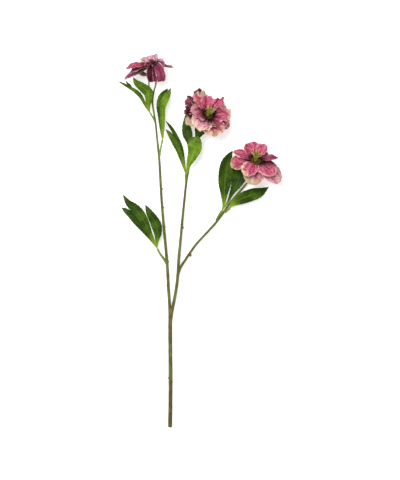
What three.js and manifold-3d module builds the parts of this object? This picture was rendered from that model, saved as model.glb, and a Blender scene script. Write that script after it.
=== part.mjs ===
// A cut hellebore spray lying on a table: one forked stem, three double blooms, a small bud and
// divided leaves.
// Millimetres, +Z up from the table, +Y along the stem towards the flowers.
// The origin is the middle of the spray's footprint. Every plan position below is measured from the cut end
// of the stem, and the whole group is then moved by CUT_END.
import * as THREE from "three";
import { mergeVertices } from "three/addons/utils/BufferGeometryUtils.js";
import Module from "manifold-3d";

const wasm = await Module();
wasm.setup();

// ---- driving dimensions ----
const CUT_END = [-44.0, -278.8]; // the cut end of the stem, from the middle of the footprint
const STEM_SIDES = 8; // a flat side faces the table
const FLAT = Math.cos(Math.PI / STEM_SIDES); // from a tube's axis to its flat side, as a share of its radius
const STEM_RADIUS = 2.7;
const LYING = STEM_RADIUS * FLAT; // height of the axis where the stem lies flat on the table
const STEM_STEPS = { left: 40, middle: 28, right: 22, bud: 8 }; // rings along each branch
const KNOB_STRETCH = 1.5; // a bud scar is this much longer along the stem than across
const SEAT_GAP = 0.4; // between a leaf and the stem that it clasps
const STALK_SIDES = 6;
const STALK_STEPS = 4;

const PETAL_ROWS = 5;
const PETAL_COLUMNS = 4;
const PETAL_THICKNESS = 0.9;
const PETAL_ROOT = 3.4; // distance of a claw from the bloom's axis
const CLAW = 0.16; // width at the root, as a share of the petal's width
const TIP = 0.06; // width at the very tip, as the same share
const WIDEST_AT = 1.5; // the larger, the nearer the widest place lies to the tip
const RIPPLE_ALONG = 5.2; // radians that a petal's ruffle turns through from its claw to its tip
const RIPPLE_ACROSS = 2.2; // and from its midrib to one edge
const RIPPLE_SHIFT = 2.4; // and from one petal to the next

const LEAF_ROWS = 10;
const LEAF_COLUMNS = 2;
const LEAF_THICKNESS = 0.8;
const TEETH = 5; // on each side of a leaflet
const TOOTH_DEPTH = 0.16; // as a share of the half width
const TOOTHED_FROM = 0.25; // share of the leaflet's length where its teeth begin
const TOOTHED_TO = 0.97;

const HUB_RADIUS = 4.2; // the disc that the claws grow from
const HUB_CROWN = 0.8; // height of the hub's domed end
const HUB_BEVEL = 0.4;
const HUB_BOTTOM = -1.2;
const CLEARANCE = 0.3; // between a bloom's hub and what sits on it or carries it
const RECEPTACLE_TOP = HUB_BOTTOM - CLEARANCE;
const RECEPTACLE_RADIUS = 3.4;
const RECEPTACLE_LENGTH = 6;
const RECEPTACLE_STALK = 1.1; // radius at its narrow lower end
const ROUND_SIDES = 10; // of hubs and receptacles

const STAMEN_SEAT = CLEARANCE; // above the hub's end
const STAMEN_DISC_RADIUS = 2.55;
const STAMEN_DISC_HEIGHT = 1.6;
const STAMEN_TOP = STAMEN_SEAT + STAMEN_DISC_HEIGHT;
const STAMEN_SUNK = 0.9; // depth of a filament's foot in the disc
const STAMENS = 10;
const STAMEN_TURN = 0.36; // the first one's place round the axis, as a share of the spacing
const FILAMENT_ROOT = 2.0; // distance of a filament's foot from the axis
const FILAMENT_SPREAD = 0.18; // how far its tip leans out, as a share of its length
const FILAMENT_RADIUS = 0.38;
const ANTHER_RADIUS = 0.95;
const CARPELS = 5;
const CARPEL_TURN = 0.3;
const CARPEL_SHARE = 0.9; // a carpel's length as a share of the longest stamen

const FINISHES = {
  stem: { color: 0x74773f, roughness: 0.6 },
  leaf: { color: 0x3f6a1e, roughness: 0.45 },
  petals: { color: 0xbd5a73, roughness: 0.7 },
  stamens: { color: 0xa3a83c, roughness: 0.6 },
  bud: { color: 0x7d7a4a, roughness: 0.6 },
};

// ---- the stem: points are [x, y, z, radius] ----
const LEFT_BRANCH = [
  [0, 0, LYING, STEM_RADIUS],
  [0.6, 40, LYING, STEM_RADIUS],
  [0.8, 75, LYING, 2.75],
  [0.5, 115, LYING, 2.6],
  [0.3, 150, LYING + 0.2, 2.65],
  [0.4, 166, LYING + 0.5, 2.6],
  [-0.6, 183, 3.8, 2.1],
  [-2.1, 205, 4.8, 2.0],
  [-4.5, 247, 7.0, 1.95],
  [-8.1, 288, 9.2, 1.85],
  [-12.5, 340, 12.0, 1.75],
  [-15.9, 400, 15.6, 1.6],
  [-18.9, 430, 17.6, 1.45],
  [-21.6, 457, 19.2, 1.3],
  [-25.8, 486, 21.4, 1.2],
  [-23.8, 502, 23.0, 1.1],
  [-20.6, 515, 24.4, 1.05],
];
const MIDDLE_BRANCH = [
  [0.8, 150, LYING + 0.2, 1.6],
  [2.0, 166, 3.2, 2.0],
  [3.8, 178, 3.6, 2.1],
  [6.5, 191, 4.0, 2.05],
  [11.1, 221, 5.2, 2.0],
  [13.0, 251, 6.6, 1.9],
  [15.8, 281, 8.0, 1.8],
  [18.6, 311, 9.6, 1.7],
  [21.6, 341, 11.4, 1.6],
  [24.6, 368, 13.2, 1.5],
  [27.4, 384, 14.0, 1.35],
  [30.6, 398, 14.6, 1.25],
  [35.6, 416, 15.2, 1.2],
  [41.4, 436, 15.8, 1.2],
];
const RIGHT_BRANCH = [
  [11.4, 224, 5.2, 1.3],
  [13.4, 233, 5.4, 1.75],
  [16.6, 241, 5.5, 1.75],
  [22.4, 250, 5.6, 1.7],
  [29.0, 260, 5.7, 1.65],
  [39.5, 274.6, 5.8, 1.6],
  [54.1, 290.5, 5.9, 1.55],
  [71.1, 309.5, 6.0, 1.5],
  [93.0, 339.8, 6.0, 1.4],
  [110.0, 359.5, 5.8, 1.3],
  [121.0, 374.0, 5.9, 1.3],
];
const BUD_BRANCH = [
  [-25.0, 481, 21.4, 0.8],
  [-27.0, 490, 22.6, 0.95],
  [-29.5, 500, 23.2, 0.9],
  [-31.0, 510, 23.4, 0.9],
  [-31.5, 518, 23.2, 0.9],
  [-32.2, 523.4, 23.0, 0.9],
  [-34.1, 526.0, 23.0, 0.9],
];
// Old bud scars: [x, y, z, radius], small knobs half sunk in the stem.
const KNOBS = [
  [-1.9, 74, 3.2, 1.3],
  [-1.7, 113, 3.2, 1.1],
  [-14.6, 362, 15.0, 0.9],
  [16.6, 304, 10.6, 1.2],
  [18.9, 299, 9.6, 1.1],
  [30.2, 258.6, 7.2, 1.4],
  [11.6, 229, 6.4, 1.5],
];

// ---- the blooms ----
// centre: [x, y, z] of the lowest claws; axis: the way the bloom faces; stamens: length of the longest; hub: how
// far the hub that carries the claws rises along the axis.
// A petal is [turn, reach, height, width, bow, blunt, cup, wave, twist, root]. turn is the angle round the axis
// from the table's +X side; reach and height place its tip out from the axis and above the bloom's plane;
// bow is how many degrees its midrib arches; blunt shapes the tip, from 0.5 for a round one to 1 for a
// pointed one; cup lifts the edges; wave ruffles them; twist turns the tip about the midrib; root is how far
// up the hub its claw starts.
const BLOOMS = {
  left: {
    centre: [-23.6, 539.4, 29.5],
    axis: [-0.12, 0.9, 0.42],
    stamens: 1.5,
    hub: 6.4,
    petals: [
      [191, 47, -12, 17, 34, 0.85, 0.12, 0.06, 0, 0],
      [80, 30, -6, 21, 60, 0.6, 0.1, 0.1, 0, 0],
      [137, 34, -3, 24, 50, 0.6, 0.1, 0.1, 0, 0],
      [293, 21, -24, 14, 160, 0.22, 0.06, 0.05, 0, 5.4],
      [252, 16.5, -23, 10, 150, 0.4, 0.3, 0.08, 0, 5.4],
      [3, 29, -7, 8, 20, 1, 0.1, 0.04, 0, 0],
      [268, 13, -24.5, 14, 150, 0.3, 0.1, 0.08, 0, 5.4],
      [196, 38, -3, 17, 40, 0.9, 0.2, 0.08, 0, 0],
      [186, 42, 3, 17, 40, 0.8, 0.18, 0.06, 0, 0],
      [143, 22.5, 9.5, 21, 50, 0.7, 0.2, 0.12, 0, 0],
      [112, 13, 12.5, 19, 66, 0.5, 0.25, 0.14, 0, 0],
      [40, 9, 17, 11, 40, 0.9, 0.3, 0.06, 0, 0],
      [27, 18, 7.5, 8, 50, 1.1, 0.2, 0.1, 0, 0],
      [206, 27, -6, 19, 60, 0.7, 0.2, 0.12, 0, 0],
      [230, 10, 10.5, 13, 40, 0.6, 0.3, 0.12, 20, 4.8],
      [257, 7, 12, 11, -30, 0.6, 0.3, 0.12, -24, 5],
      [289, 8, 12.2, 12, -30, 0.6, 0.3, 0.12, 20, 5],
      [333, 13, 6.5, 15, 40, 0.6, 0.3, 0.12, 12, 4.8],
    ],
  },
  middle: {
    centre: [56.6, 465.6, 25],
    axis: [0.25, 0.6, 0.76],
    stamens: 15,
    hub: 1.4,
    petals: [
      [207, 36, -8, 20, 60, 0.65, 0.1, 0.14, 0, 0],
      [176, 34, -3, 23, 50, 0.7, 0.1, 0.12, 0, 0],
      [115, 46.4, 6, 17, 34, 0.36, 0.2, 0.1, 0, 0],
      [25, 38, -2, 22, 50, 0.5, 0.1, 0.14, 0, 0],
      [284, 40, 2, 34, 50, 0.5, 0.1, 0.18, 0, 0],
      [329, 35.5, 0, 28, 50, 0.5, 0.1, 0.18, 0, 0],
      [154, 41, 5, 20, 40, 0.9, 0.25, 0.1, 0, 0],
      [135, 36, 12, 18, 40, 0.7, 0.3, 0.08, 14, 0],
      [103, 25, 17, 22, 34, 0.5, 0.2, 0.14, 0, 0],
      [53, 35.8, 14, 16, 34, 1.5, 0.2, 0.06, 0, 0],
      [349, 32, 10, 27, 60, 0.5, 0.14, 0.18, 0, 0],
      [316, 34, 8, 30, 60, 0.5, 0.14, 0.18, 0, 0],
      [243, 38.5, 7, 32, 60, 0.5, 0.14, 0.16, 0, 0],
      [203, 30, 12, 29, 60, 0.5, 0.14, 0.16, 0, 0],
      [137, 44, 4, 13, 30, 1.2, 0.2, 0.06, 0, 0],
      [119, 38.5, 9.5, 22, 34, 0.42, 0.2, 0.12, 0, 0],
    ],
  },
  right: {
    centre: [128.2, 398.6, 17.6],
    axis: [0.06, 0.61, 0.79],
    stamens: 17,
    hub: 1.4,
    petals: [
      [191, 38, -4, 27, 46, 0.5, 0.08, 0.08, 0, 0],
      [264, 40, -8, 30, 50, 0.5, 0.1, 0.1, 0, 0],
      [318, 48, -10, 29, 50, 0.55, 0.08, 0.1, 0, 0],
      [36, 25, -2, 14, 60, 0.9, 0.1, 0.1, 0, 0],
      [112, 27, -1, 20, 50, 0.6, 0.08, 0.12, 0, 0],
      [166, 36, 8, 16, 46, 0.85, 0.2, 0.06, 0, 0],
      [246, 38, 6, 24, 56, 0.55, 0.12, 0.06, 0, 0],
      [309, 41, 6, 28, 50, 0.5, 0.12, 0.1, 0, 0],
      [357, 33, 11, 11, 40, 1.2, 0.25, 0.06, 0, 0],
      [61, 28, 12, 17, 50, 1, 0.16, 0.08, 0, 0],
      [112, 27, 12, 23, 40, 0.33, 0.14, 0.14, 0, 0],
    ],
  },
};
const BUD = { base: [-34.7, 526.4, 23], axis: [-0.94, 0.33, 0.05], length: 14, radius: 3.4 };
const BUD_RIBS = 5; // low ribs where its sepals fold over each other
const BUD_RIB_HEIGHT = 0.07; // as a share of its radius
const BUD_TAPER = 0.25; // how much narrower its tip is than its middle

// ---- the leaves ----
// A leaflet's spine is [x, y, z, half width] from the leaf's stalk to its tip; roll tips the blade about its
// midrib in degrees; keel lifts both edges. A leaf's stalk is [x, y, z, radius] from beside the stem.
const LEAVES = {
  leaf_lower: {
    stalk: [[-5.2, 245.5, 7, 1.2], [-9, 252, 7.6, 1.2], [-15, 260, 8.4, 1.1], [-20, 269.5, 9, 1.4]],
    leaflets: [
      {
        spine: [
          [-20, 269.5, 9, 0.9], [-23.5, 277, 10, 2.2], [-31.5, 293.5, 11.5, 3.5], [-38.5, 307, 12, 5.5],
          [-45.5, 319.5, 11, 6.5], [-54.5, 329, 9.5, 6.3], [-62.5, 336, 7, 3.5], [-71, 349.5, 3, 0.1],
        ],
        roll: 12,
        keel: 0.14,
      },
      {
        spine: [
          [-20, 269.5, 9, 0.9], [-27.5, 281, 9.5, 2.7], [-38.5, 295, 9.5, 4.3], [-49, 306.5, 7.5, 5.1],
          [-59, 318, 5.5, 4.8], [-65.5, 324, 4.5, 4], [-73, 329.5, 3, 0.1],
        ],
        roll: -14,
        keel: 0.14,
      },
      {
        spine: [
          [-19.5, 269.5, 9, 0.9], [-19, 280, 11, 2.9], [-18.5, 292.5, 13.5, 6.1], [-21, 305, 13, 7.2],
          [-27.5, 317.5, 12, 5], [-32.5, 326, 10, 2.9], [-37, 333.5, 8, 0.1],
        ],
        roll: 14,
        keel: 0.16,
      },
    ],
  },
  leaf_top_left: {
    stalk: [[-21.6, 455, 20.6, 1.1], [-24, 461, 22.6, 1.1], [-27.4, 466.4, 24.6, 1], [-30.5, 471.5, 26, 1.2]],
    leaflets: [
      {
        spine: [
          [-30, 471.5, 26, 0.9], [-32, 479.5, 28, 3.2], [-32, 492, 31, 5.7], [-34.5, 500.5, 32, 7.8],
          [-40.5, 508, 33, 7.6], [-49.5, 515.5, 31.5, 4.8], [-54.5, 523, 30, 0.1],
        ],
        roll: 12,
        keel: 0.14,
      },
      {
        spine: [
          [-30.5, 471.5, 26, 0.9], [-36.5, 477, 27.5, 1.7], [-45, 491.5, 30, 2.6], [-52, 502, 30.5, 3.6],
          [-60, 507.5, 30.5, 2.5], [-70, 512.5, 28.5, 1.7], [-78.5, 517.5, 27, 0.1],
        ],
        roll: 10,
        keel: 0.5,
      },
      {
        spine: [
          [-56, 505.5, 30, 0.9], [-59.5, 510, 30, 2.3], [-62.5, 513.5, 30, 1.6], [-66.5, 518.5, 30, 0.1],
        ],
        roll: 10,
        keel: 0.4,
      },
    ],
  },
  leaf_top_right: {
    stalk: [[-15.4, 406, 17.4, 1.1], [-14.6, 412, 18.6, 1], [-12.8, 422, 20, 1], [-10.8, 432, 21, 1.3]],
    leaflets: [
      {
        spine: [
          [-10.5, 431, 21, 0.9], [-10.5, 444.5, 22.5, 2.5], [-11, 463, 24, 3.9], [-10.5, 478.5, 25, 4.4],
          [-6, 491.5, 23, 5.2], [-2, 499.5, 21, 3.7], [1.5, 507.5, 19, 0.1],
        ],
        roll: 0,
        keel: 0.12,
      },
      {
        spine: [
          [-11, 431, 21, 0.9], [-13, 444.5, 20.5, 1.9], [-14.5, 464, 19, 3.3], [-14.5, 482, 17, 5.6],
          [-11.5, 493.5, 14.5, 5.9], [-6.5, 501.5, 12, 4], [-3.5, 507.5, 10, 0.1],
        ],
        roll: 0,
        keel: 0.1,
      },
    ],
  },
  leaf_middle: {
    stalk: [[24, 367, 15.6, 1.3], [23.6, 373, 16.6, 1.3], [24, 381, 18.6, 1.9]],
    leaflets: [
      {
        spine: [
          [24, 379, 18, 0.9], [20, 393.5, 19, 2.5], [13.5, 413.5, 19.5, 4.2], [6.5, 427.5, 18.5, 4.5],
          [0, 438.5, 15.5, 3.4], [-6.5, 446.5, 13, 0.1],
        ],
        roll: -10,
        keel: 0.14,
      },
      {
        spine: [
          [24, 379, 18, 0.9], [21, 397, 16.5, 1.8], [16, 419, 14.5, 3.3], [9, 436, 13, 2.8],
          [1, 449.5, 10, 2.3], [-7, 459.5, 8, 0.1],
        ],
        roll: -10,
        keel: 0.14,
      },
      {
        spine: [
          [25, 379, 18.5, 0.9], [28, 392, 22.5, 3.4], [33.5, 405.5, 25, 7.4], [37.5, 418.5, 26, 10.4],
          [36, 428, 25, 10.2], [33.5, 432.5, 24, 7.1], [33, 434.5, 24, 0.1],
        ],
        roll: 6,
        keel: 0.1,
      },
      {
        spine: [
          [25, 379, 18.5, 0.9], [29.5, 403, 19, 2.2], [30, 424.5, 17, 4.4], [26.5, 438.5, 15.5, 7.5],
          [25, 447.5, 14, 6.8], [24.5, 460.5, 11.5, 4.2], [25, 473, 9, 0.1],
        ],
        roll: 10,
        keel: 0.12,
      },
      {
        spine: [
          [25.5, 379, 18.5, 0.9], [32, 402.5, 19.5, 2.5], [38.5, 424.5, 20.5, 3.6], [41.5, 434.5, 21, 4.2],
          [45.5, 445, 21, 8.9], [48.5, 451, 20.6, 7.4], [50.5, 457.5, 19.6, 0.1],
        ],
        roll: -6,
        keel: 0.12,
      },
    ],
  },
  leaf_right_upper: {
    stalk: [[69, 309.4, 7.6, 1.2], [72.4, 316, 8.6, 1.3], [79, 326, 9.8, 1.9]],
    leaflets: [
      {
        spine: [
          [78.5, 325.5, 9.5, 0.9], [80.5, 334.5, 10, 2.2], [81, 348, 11, 5.2], [81.5, 364.5, 10.5, 9],
          [82.5, 381.5, 9, 9.9], [85, 397, 6.5, 7.9], [89.5, 407.5, 4.5, 4.1], [94, 414.5, 3, 0.1],
        ],
        roll: -8,
        keel: 0.14,
      },
      {
        spine: [
          [79, 326, 9.5, 0.9], [86.5, 337, 10, 1.7], [93, 351.5, 10.5, 3.7], [100.5, 365, 9, 8],
          [104.5, 376.5, 8, 10.7], [105.5, 389, 5.5, 8.7], [106, 403, 3.5, 0.1],
        ],
        roll: 6,
        keel: 0.14,
      },
    ],
  },
  leaf_right_lower: {
    stalk: [[82, 321.6, 7, 1.2], [85.6, 325.2, 7.6, 1.3], [90.4, 329.5, 8.4, 1.7]],
    leaflets: [
      {
        spine: [
          [89.5, 328.5, 8.5, 0.9], [94.5, 334.5, 9, 3.6], [106.5, 341.5, 10.5, 7.5], [121.5, 348, 9, 9.3],
          [134.5, 352, 7, 7.2], [142.5, 356.5, 5.5, 3.2], [148, 360, 4, 0.1],
        ],
        roll: -6,
        keel: 0.14,
      },
    ],
  },
};

// ---- solids ----
const WELD = 1e-4; // corners closer than this are one corner
const TINY = 0.05; // edges shorter than this are closed up after a cut
const radians = THREE.MathUtils.degToRad;
const UP = new THREE.Vector3(0, 0, 1);

// A closed geometry as a manifold-3d solid: shared corners are merged, and only positions are kept.
function solid(geometry) {
  const bare = geometry.clone();
  bare.deleteAttribute("normal");
  bare.deleteAttribute("uv");
  const welded = mergeVertices(bare, WELD);
  const mesh = new wasm.Mesh({
    numProp: 3,
    vertProperties: welded.attributes.position.array,
    triVerts: new Uint32Array(welded.index.array),
  });
  return new wasm.Manifold(mesh);
}

function joined(solids) {
  return solids.reduce((sum, next) => sum.add(next));
}

// The outer skin of the largest body, which closes hollows and drops loose scraps.
function cleaned(body) {
  const bodies = body.simplify(TINY).decompose();
  return bodies.reduce((largest, next) => (next.volume() > largest.volume() ? next : largest));
}

// The table cuts flat whatever would reach below it.
function trimmedAtTable(body) {
  const reach = 2000;
  const table = new THREE.BoxGeometry(reach, reach, reach).translate(0, 0, -reach / 2);
  return body.subtract(solid(table));
}

function named(name, body, finish) {
  const { vertProperties, triVerts } = body.getMesh();
  const geometry = new THREE.BufferGeometry();
  geometry.setAttribute("position", new THREE.BufferAttribute(new Float32Array(vertProperties), 3));
  geometry.setIndex(new THREE.BufferAttribute(new Uint32Array(triVerts), 1));
  const material = new THREE.MeshStandardMaterial({ ...finish, metalness: 0, flatShading: true });
  const mesh = new THREE.Mesh(geometry, material);
  mesh.name = name;
  return mesh;
}

// ---- tubes ----
const LENGTH_SAMPLES = 400;

function smoothCurve(points) {
  const places = points.map(([x, y, z]) => new THREE.Vector3(x, y, z));
  return new THREE.CatmullRomCurve3(places, false, "centripetal");
}

// The share of a curve's length that lies before its parameter t.
function lengthShare(curve, t) {
  const lengths = curve.getLengths(LENGTH_SAMPLES);
  const place = t * LENGTH_SAMPLES;
  const i = Math.min(Math.floor(place), LENGTH_SAMPLES - 1);
  return THREE.MathUtils.lerp(lengths[i], lengths[i + 1], place - i) / lengths[LENGTH_SAMPLES];
}

// A smooth path through points [x, y, z, radius], with its radius between them.
function pathThrough(points) {
  const curve = smoothCurve(points);
  const marks = points.map((point, i) => lengthShare(curve, i / (points.length - 1)));
  const radiusAt = (share) => {
    let i = 0;
    while (i < marks.length - 2 && share > marks[i + 1]) i += 1;
    const part = THREE.MathUtils.clamp((share - marks[i]) / (marks[i + 1] - marks[i]), 0, 1);
    return THREE.MathUtils.lerp(points[i][3], points[i + 1][3], part);
  };
  return { curve, radiusAt };
}

// A closed round tube: a capped cylinder whose rings are moved onto the path. Its rings are levelled against
// the direction across, which the path never runs along. extra widens it all along.
function tube({ curve, radiusAt }, sides, steps, { extra = 0, across = UP } = {}) {
  const geometry = new THREE.CylinderGeometry(1, 1, 1, sides, steps).rotateY(Math.PI / sides);
  const position = geometry.attributes.position;
  for (let i = 0; i < position.count; i += 1) {
    const share = THREE.MathUtils.clamp(position.getY(i) + 0.5, 0, 1);
    const tangent = curve.getTangentAt(share);
    const side = new THREE.Vector3().crossVectors(tangent, across).normalize();
    const over = new THREE.Vector3().crossVectors(side, tangent);
    const radius = radiusAt(share) + extra;
    const point = curve.getPointAt(share);
    point.addScaledVector(side, position.getX(i) * radius);
    point.addScaledVector(over, position.getZ(i) * radius);
    position.setXYZ(i, point.x, point.y, point.z);
  }
  return solid(geometry);
}

// A turned body about +Z through [radius, height] points that start and end on the axis.
function turned(profile, sides) {
  const points = profile.map(([radius, height]) => new THREE.Vector2(radius, height));
  return solid(new THREE.LatheGeometry(points, sides).rotateX(Math.PI / 2));
}

// ---- blades ----
// A thin closed blade about the surface place(s, t), s from root to tip and t from -1 to 1 across it. Both
// faces are split into triangles along the same diagonals.
function blade(place, thickness, rows, columns) {
  const step = 1e-3;
  const normalAt = (s, t) => {
    const along = place(Math.min(s + step, 1), t).sub(place(Math.max(s - step, 0), t));
    const across = place(s, t + step).sub(place(s, t - step));
    return along.cross(across).normalize();
  };
  const points = [];
  for (const half of [0.5, -0.5]) {
    for (let i = 0; i <= rows; i += 1) {
      for (let j = 0; j <= columns; j += 1) {
        const s = i / rows;
        const t = -1 + (2 * j) / columns;
        const point = place(s, t).addScaledVector(normalAt(s, t), half * thickness);
        points.push(point.x, point.y, point.z);
      }
    }
  }
  const sheet = (rows + 1) * (columns + 1);
  const at = (face, i, j) => face * sheet + i * (columns + 1) + j;
  const index = [];
  const quad = (a, b, c, d) => index.push(a, b, c, a, c, d);
  for (let i = 0; i < rows; i += 1) {
    for (let j = 0; j < columns; j += 1) {
      quad(at(0, i, j), at(0, i + 1, j), at(0, i + 1, j + 1), at(0, i, j + 1));
      index.push(at(1, i, j), at(1, i + 1, j + 1), at(1, i + 1, j));
      index.push(at(1, i, j), at(1, i, j + 1), at(1, i + 1, j + 1));
    }
  }
  for (let i = 0; i < rows; i += 1) {
    quad(at(0, i + 1, 0), at(0, i, 0), at(1, i, 0), at(1, i + 1, 0));
    quad(at(0, i, columns), at(0, i + 1, columns), at(1, i + 1, columns), at(1, i, columns));
  }
  for (let j = 0; j < columns; j += 1) {
    quad(at(0, 0, j), at(0, 0, j + 1), at(1, 0, j + 1), at(1, 0, j));
    quad(at(0, rows, j + 1), at(0, rows, j), at(1, rows, j), at(1, rows, j + 1));
  }
  const geometry = new THREE.BufferGeometry();
  geometry.setAttribute("position", new THREE.Float32BufferAttribute(points, 3));
  geometry.setIndex(index);
  return solid(geometry);
}

// ---- blooms ----
// A bloom's own frame: its axis is +Z, and +X lies as near as it can to the table's +X.
function bloomFrame({ centre, axis }) {
  const z = new THREE.Vector3(...axis).normalize();
  const x = new THREE.Vector3(1, 0, 0).addScaledVector(z, -z.x).normalize();
  const y = new THREE.Vector3().crossVectors(z, x);
  return new THREE.Matrix4().makeBasis(x, y, z).setPosition(...centre);
}

// Half width along a petal, as a share of its widest: a narrow claw, a broad blade, a round or pointed tip.
function petalOutline(s, blunt) {
  const belly = Math.max(Math.sin(Math.PI * s ** WIDEST_AT), 0) ** blunt;
  return CLAW * (1 - s) + belly + TIP * s ** 8;
}

// The middle surface of one petal in its bloom's frame. The midrib is an arc of a circle from the claw to the
// tip, and the blade is cupped and ruffled about it.
function petalSurface([turn, reach, height, width, bow, blunt, cup, wave, twist, root], order) {
  const bend = radians(bow);
  const chord = Math.hypot(reach - PETAL_ROOT, height);
  const start = Math.atan2(height, reach - PETAL_ROOT) + bend / 2;
  const radius = chord / 2 / Math.sin(bend / 2);
  const outward = new THREE.Vector3(Math.cos(radians(turn)), Math.sin(radians(turn)), 0);
  const sideways = new THREE.Vector3(-outward.y, outward.x, 0);
  return (s, t) => {
    const angle = start - bend * s;
    const out = PETAL_ROOT + radius * (Math.sin(start) - Math.sin(angle));
    const lift = radius * (Math.cos(angle) - Math.cos(start));
    const inner = outward.clone().multiplyScalar(-Math.sin(angle)).addScaledVector(UP, Math.cos(angle));
    const half = (width / 2) * petalOutline(s, blunt);
    const rolled = radians(twist) * s;
    const ripple = Math.sin(RIPPLE_ALONG * s + RIPPLE_ACROSS * t + RIPPLE_SHIFT * order);
    const edge = half * t * t * (cup + wave * s * ripple);
    const across = half * t * Math.cos(rolled) - edge * Math.sin(rolled);
    const above = half * t * Math.sin(rolled) + edge * Math.cos(rolled);
    return new THREE.Vector3()
      .addScaledVector(outward, out)
      .addScaledVector(UP, lift + root)
      .addScaledVector(sideways, across)
      .addScaledVector(inner, above);
  };
}

function petals(bloom) {
  const hub = turned(
    [
      [0, HUB_BOTTOM],
      [HUB_RADIUS, HUB_BOTTOM + HUB_BEVEL],
      [HUB_RADIUS, bloom.hub - HUB_CROWN],
      [0, bloom.hub],
    ],
    ROUND_SIDES,
  );
  const blades = bloom.petals.map((petal, order) =>
    blade(petalSurface(petal, order), PETAL_THICKNESS, PETAL_ROWS, PETAL_COLUMNS),
  );
  return trimmedAtTable(cleaned(joined([hub, ...blades])).transform(bloomFrame(bloom).elements));
}

// A filament or a carpel: a thin three-sided tube through [distance from the axis, height, radius] points.
function upright(turn, points, steps) {
  const placed = points.map(([out, ...rest]) => [out * Math.cos(turn), out * Math.sin(turn), ...rest]);
  return tube(pathThrough(placed), 3, steps, { across: new THREE.Vector3(0, -1, 0) });
}

// The yellow-green middle of a bloom: carpels and a ring of stamens that grow from one small disc.
function stamens(bloom) {
  const disc = turned(
    [
      [0, STAMEN_SEAT],
      [STAMEN_DISC_RADIUS, STAMEN_SEAT],
      [STAMEN_DISC_RADIUS, STAMEN_TOP - 0.3],
      [STAMEN_DISC_RADIUS - 0.2, STAMEN_TOP],
      [0, STAMEN_TOP],
    ],
    8,
  );
  const carpels = Array.from({ length: CARPELS }, (unused, i) => {
    const length = bloom.stamens * CARPEL_SHARE;
    const points = [
      [0.95, STAMEN_TOP - STAMEN_SUNK, 0.5],
      [1.1, STAMEN_TOP + length * 0.3, 0.62],
      [1.2, STAMEN_TOP + length * 0.65, 0.45],
      [1.8, STAMEN_TOP + length, 0.35],
    ];
    return upright((2 * Math.PI * (i + CARPEL_TURN)) / CARPELS, points, 3);
  });
  const filaments = Array.from({ length: STAMENS }, (unused, i) => {
    const length = bloom.stamens * (0.82 + 0.18 * Math.sin(i * 2.4));
    const at = (share, radius) => {
      const out = FILAMENT_ROOT + length * FILAMENT_SPREAD * share * share;
      return [out, STAMEN_TOP - STAMEN_SUNK + (length + STAMEN_SUNK) * share, radius];
    };
    const points = [
      at(0, FILAMENT_RADIUS),
      at(0.45, FILAMENT_RADIUS),
      at(0.84, FILAMENT_RADIUS),
      at(0.93, ANTHER_RADIUS),
      at(1, FILAMENT_RADIUS),
    ];
    return upright((2 * Math.PI * (i + STAMEN_TURN)) / STAMENS, points, 4);
  });
  const seated = joined([disc, ...carpels, ...filaments]).translate([0, 0, bloom.hub]);
  return cleaned(seated).transform(bloomFrame(bloom).elements);
}

// A closed bud: an egg with low ribs.
function bud() {
  const geometry = new THREE.SphereGeometry(1, 3 * BUD_RIBS, 8).rotateX(Math.PI / 2);
  const position = geometry.attributes.position;
  for (let i = 0; i < position.count; i += 1) {
    const point = new THREE.Vector3().fromBufferAttribute(position, i);
    const turn = Math.atan2(point.y, point.x);
    const ribbed = 1 + BUD_RIB_HEIGHT * Math.cos(BUD_RIBS * turn + point.z);
    const radius = BUD.radius * ribbed * (1 - BUD_TAPER * point.z);
    position.setXYZ(i, point.x * radius, point.y * radius, ((point.z + 1) * BUD.length) / 2);
  }
  return solid(geometry).transform(bloomFrame({ centre: BUD.base, axis: BUD.axis }).elements);
}

// ---- leaves ----
// A leaflet's half width follows its spine, with saw teeth along its outer part.
function toothed(s) {
  if (s <= TOOTHED_FROM || s >= TOOTHED_TO) return 1;
  return 1 + TOOTH_DEPTH * (0.25 - ((s * TEETH) % 1));
}

function leaflet({ spine, roll, keel }) {
  const { curve, radiusAt } = pathThrough(spine);
  const place = (s, t) => {
    const tangent = curve.getTangentAt(s);
    const level = new THREE.Vector3().crossVectors(tangent, UP).normalize();
    const easing = Math.sin(Math.min(1, 2.5 * s) * (Math.PI / 2));
    const side = level.applyAxisAngle(tangent, radians(roll) * easing);
    const above = new THREE.Vector3().crossVectors(side, tangent);
    const half = radiusAt(s) * toothed(s);
    return curve
      .getPointAt(s)
      .addScaledVector(side, half * t)
      .addScaledVector(above, keel * half * Math.abs(t));
  };
  return blade(place, LEAF_THICKNESS, LEAF_ROWS, LEAF_COLUMNS);
}

function leaf({ stalk, leaflets }, room) {
  const pieces = [tube(pathThrough(stalk), STALK_SIDES, STALK_STEPS), ...leaflets.map(leaflet)];
  return trimmedAtTable(cleaned(joined(pieces).subtract(room)));
}

// ---- the stem ----
// The swelling under a bloom, from the thin stalk to the flat top that the petals' hub sits on.
function receptacle(bloom) {
  const low = RECEPTACLE_TOP - RECEPTACLE_LENGTH;
  const profile = [
    [0, low],
    [RECEPTACLE_STALK, low],
    [RECEPTACLE_RADIUS * 0.62, low + RECEPTACLE_LENGTH * 0.5],
    [RECEPTACLE_RADIUS, RECEPTACLE_TOP - 0.6],
    [RECEPTACLE_RADIUS * 0.9, RECEPTACLE_TOP],
    [0, RECEPTACLE_TOP],
  ];
  return turned(profile, ROUND_SIDES).transform(bloomFrame(bloom).elements);
}

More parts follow.
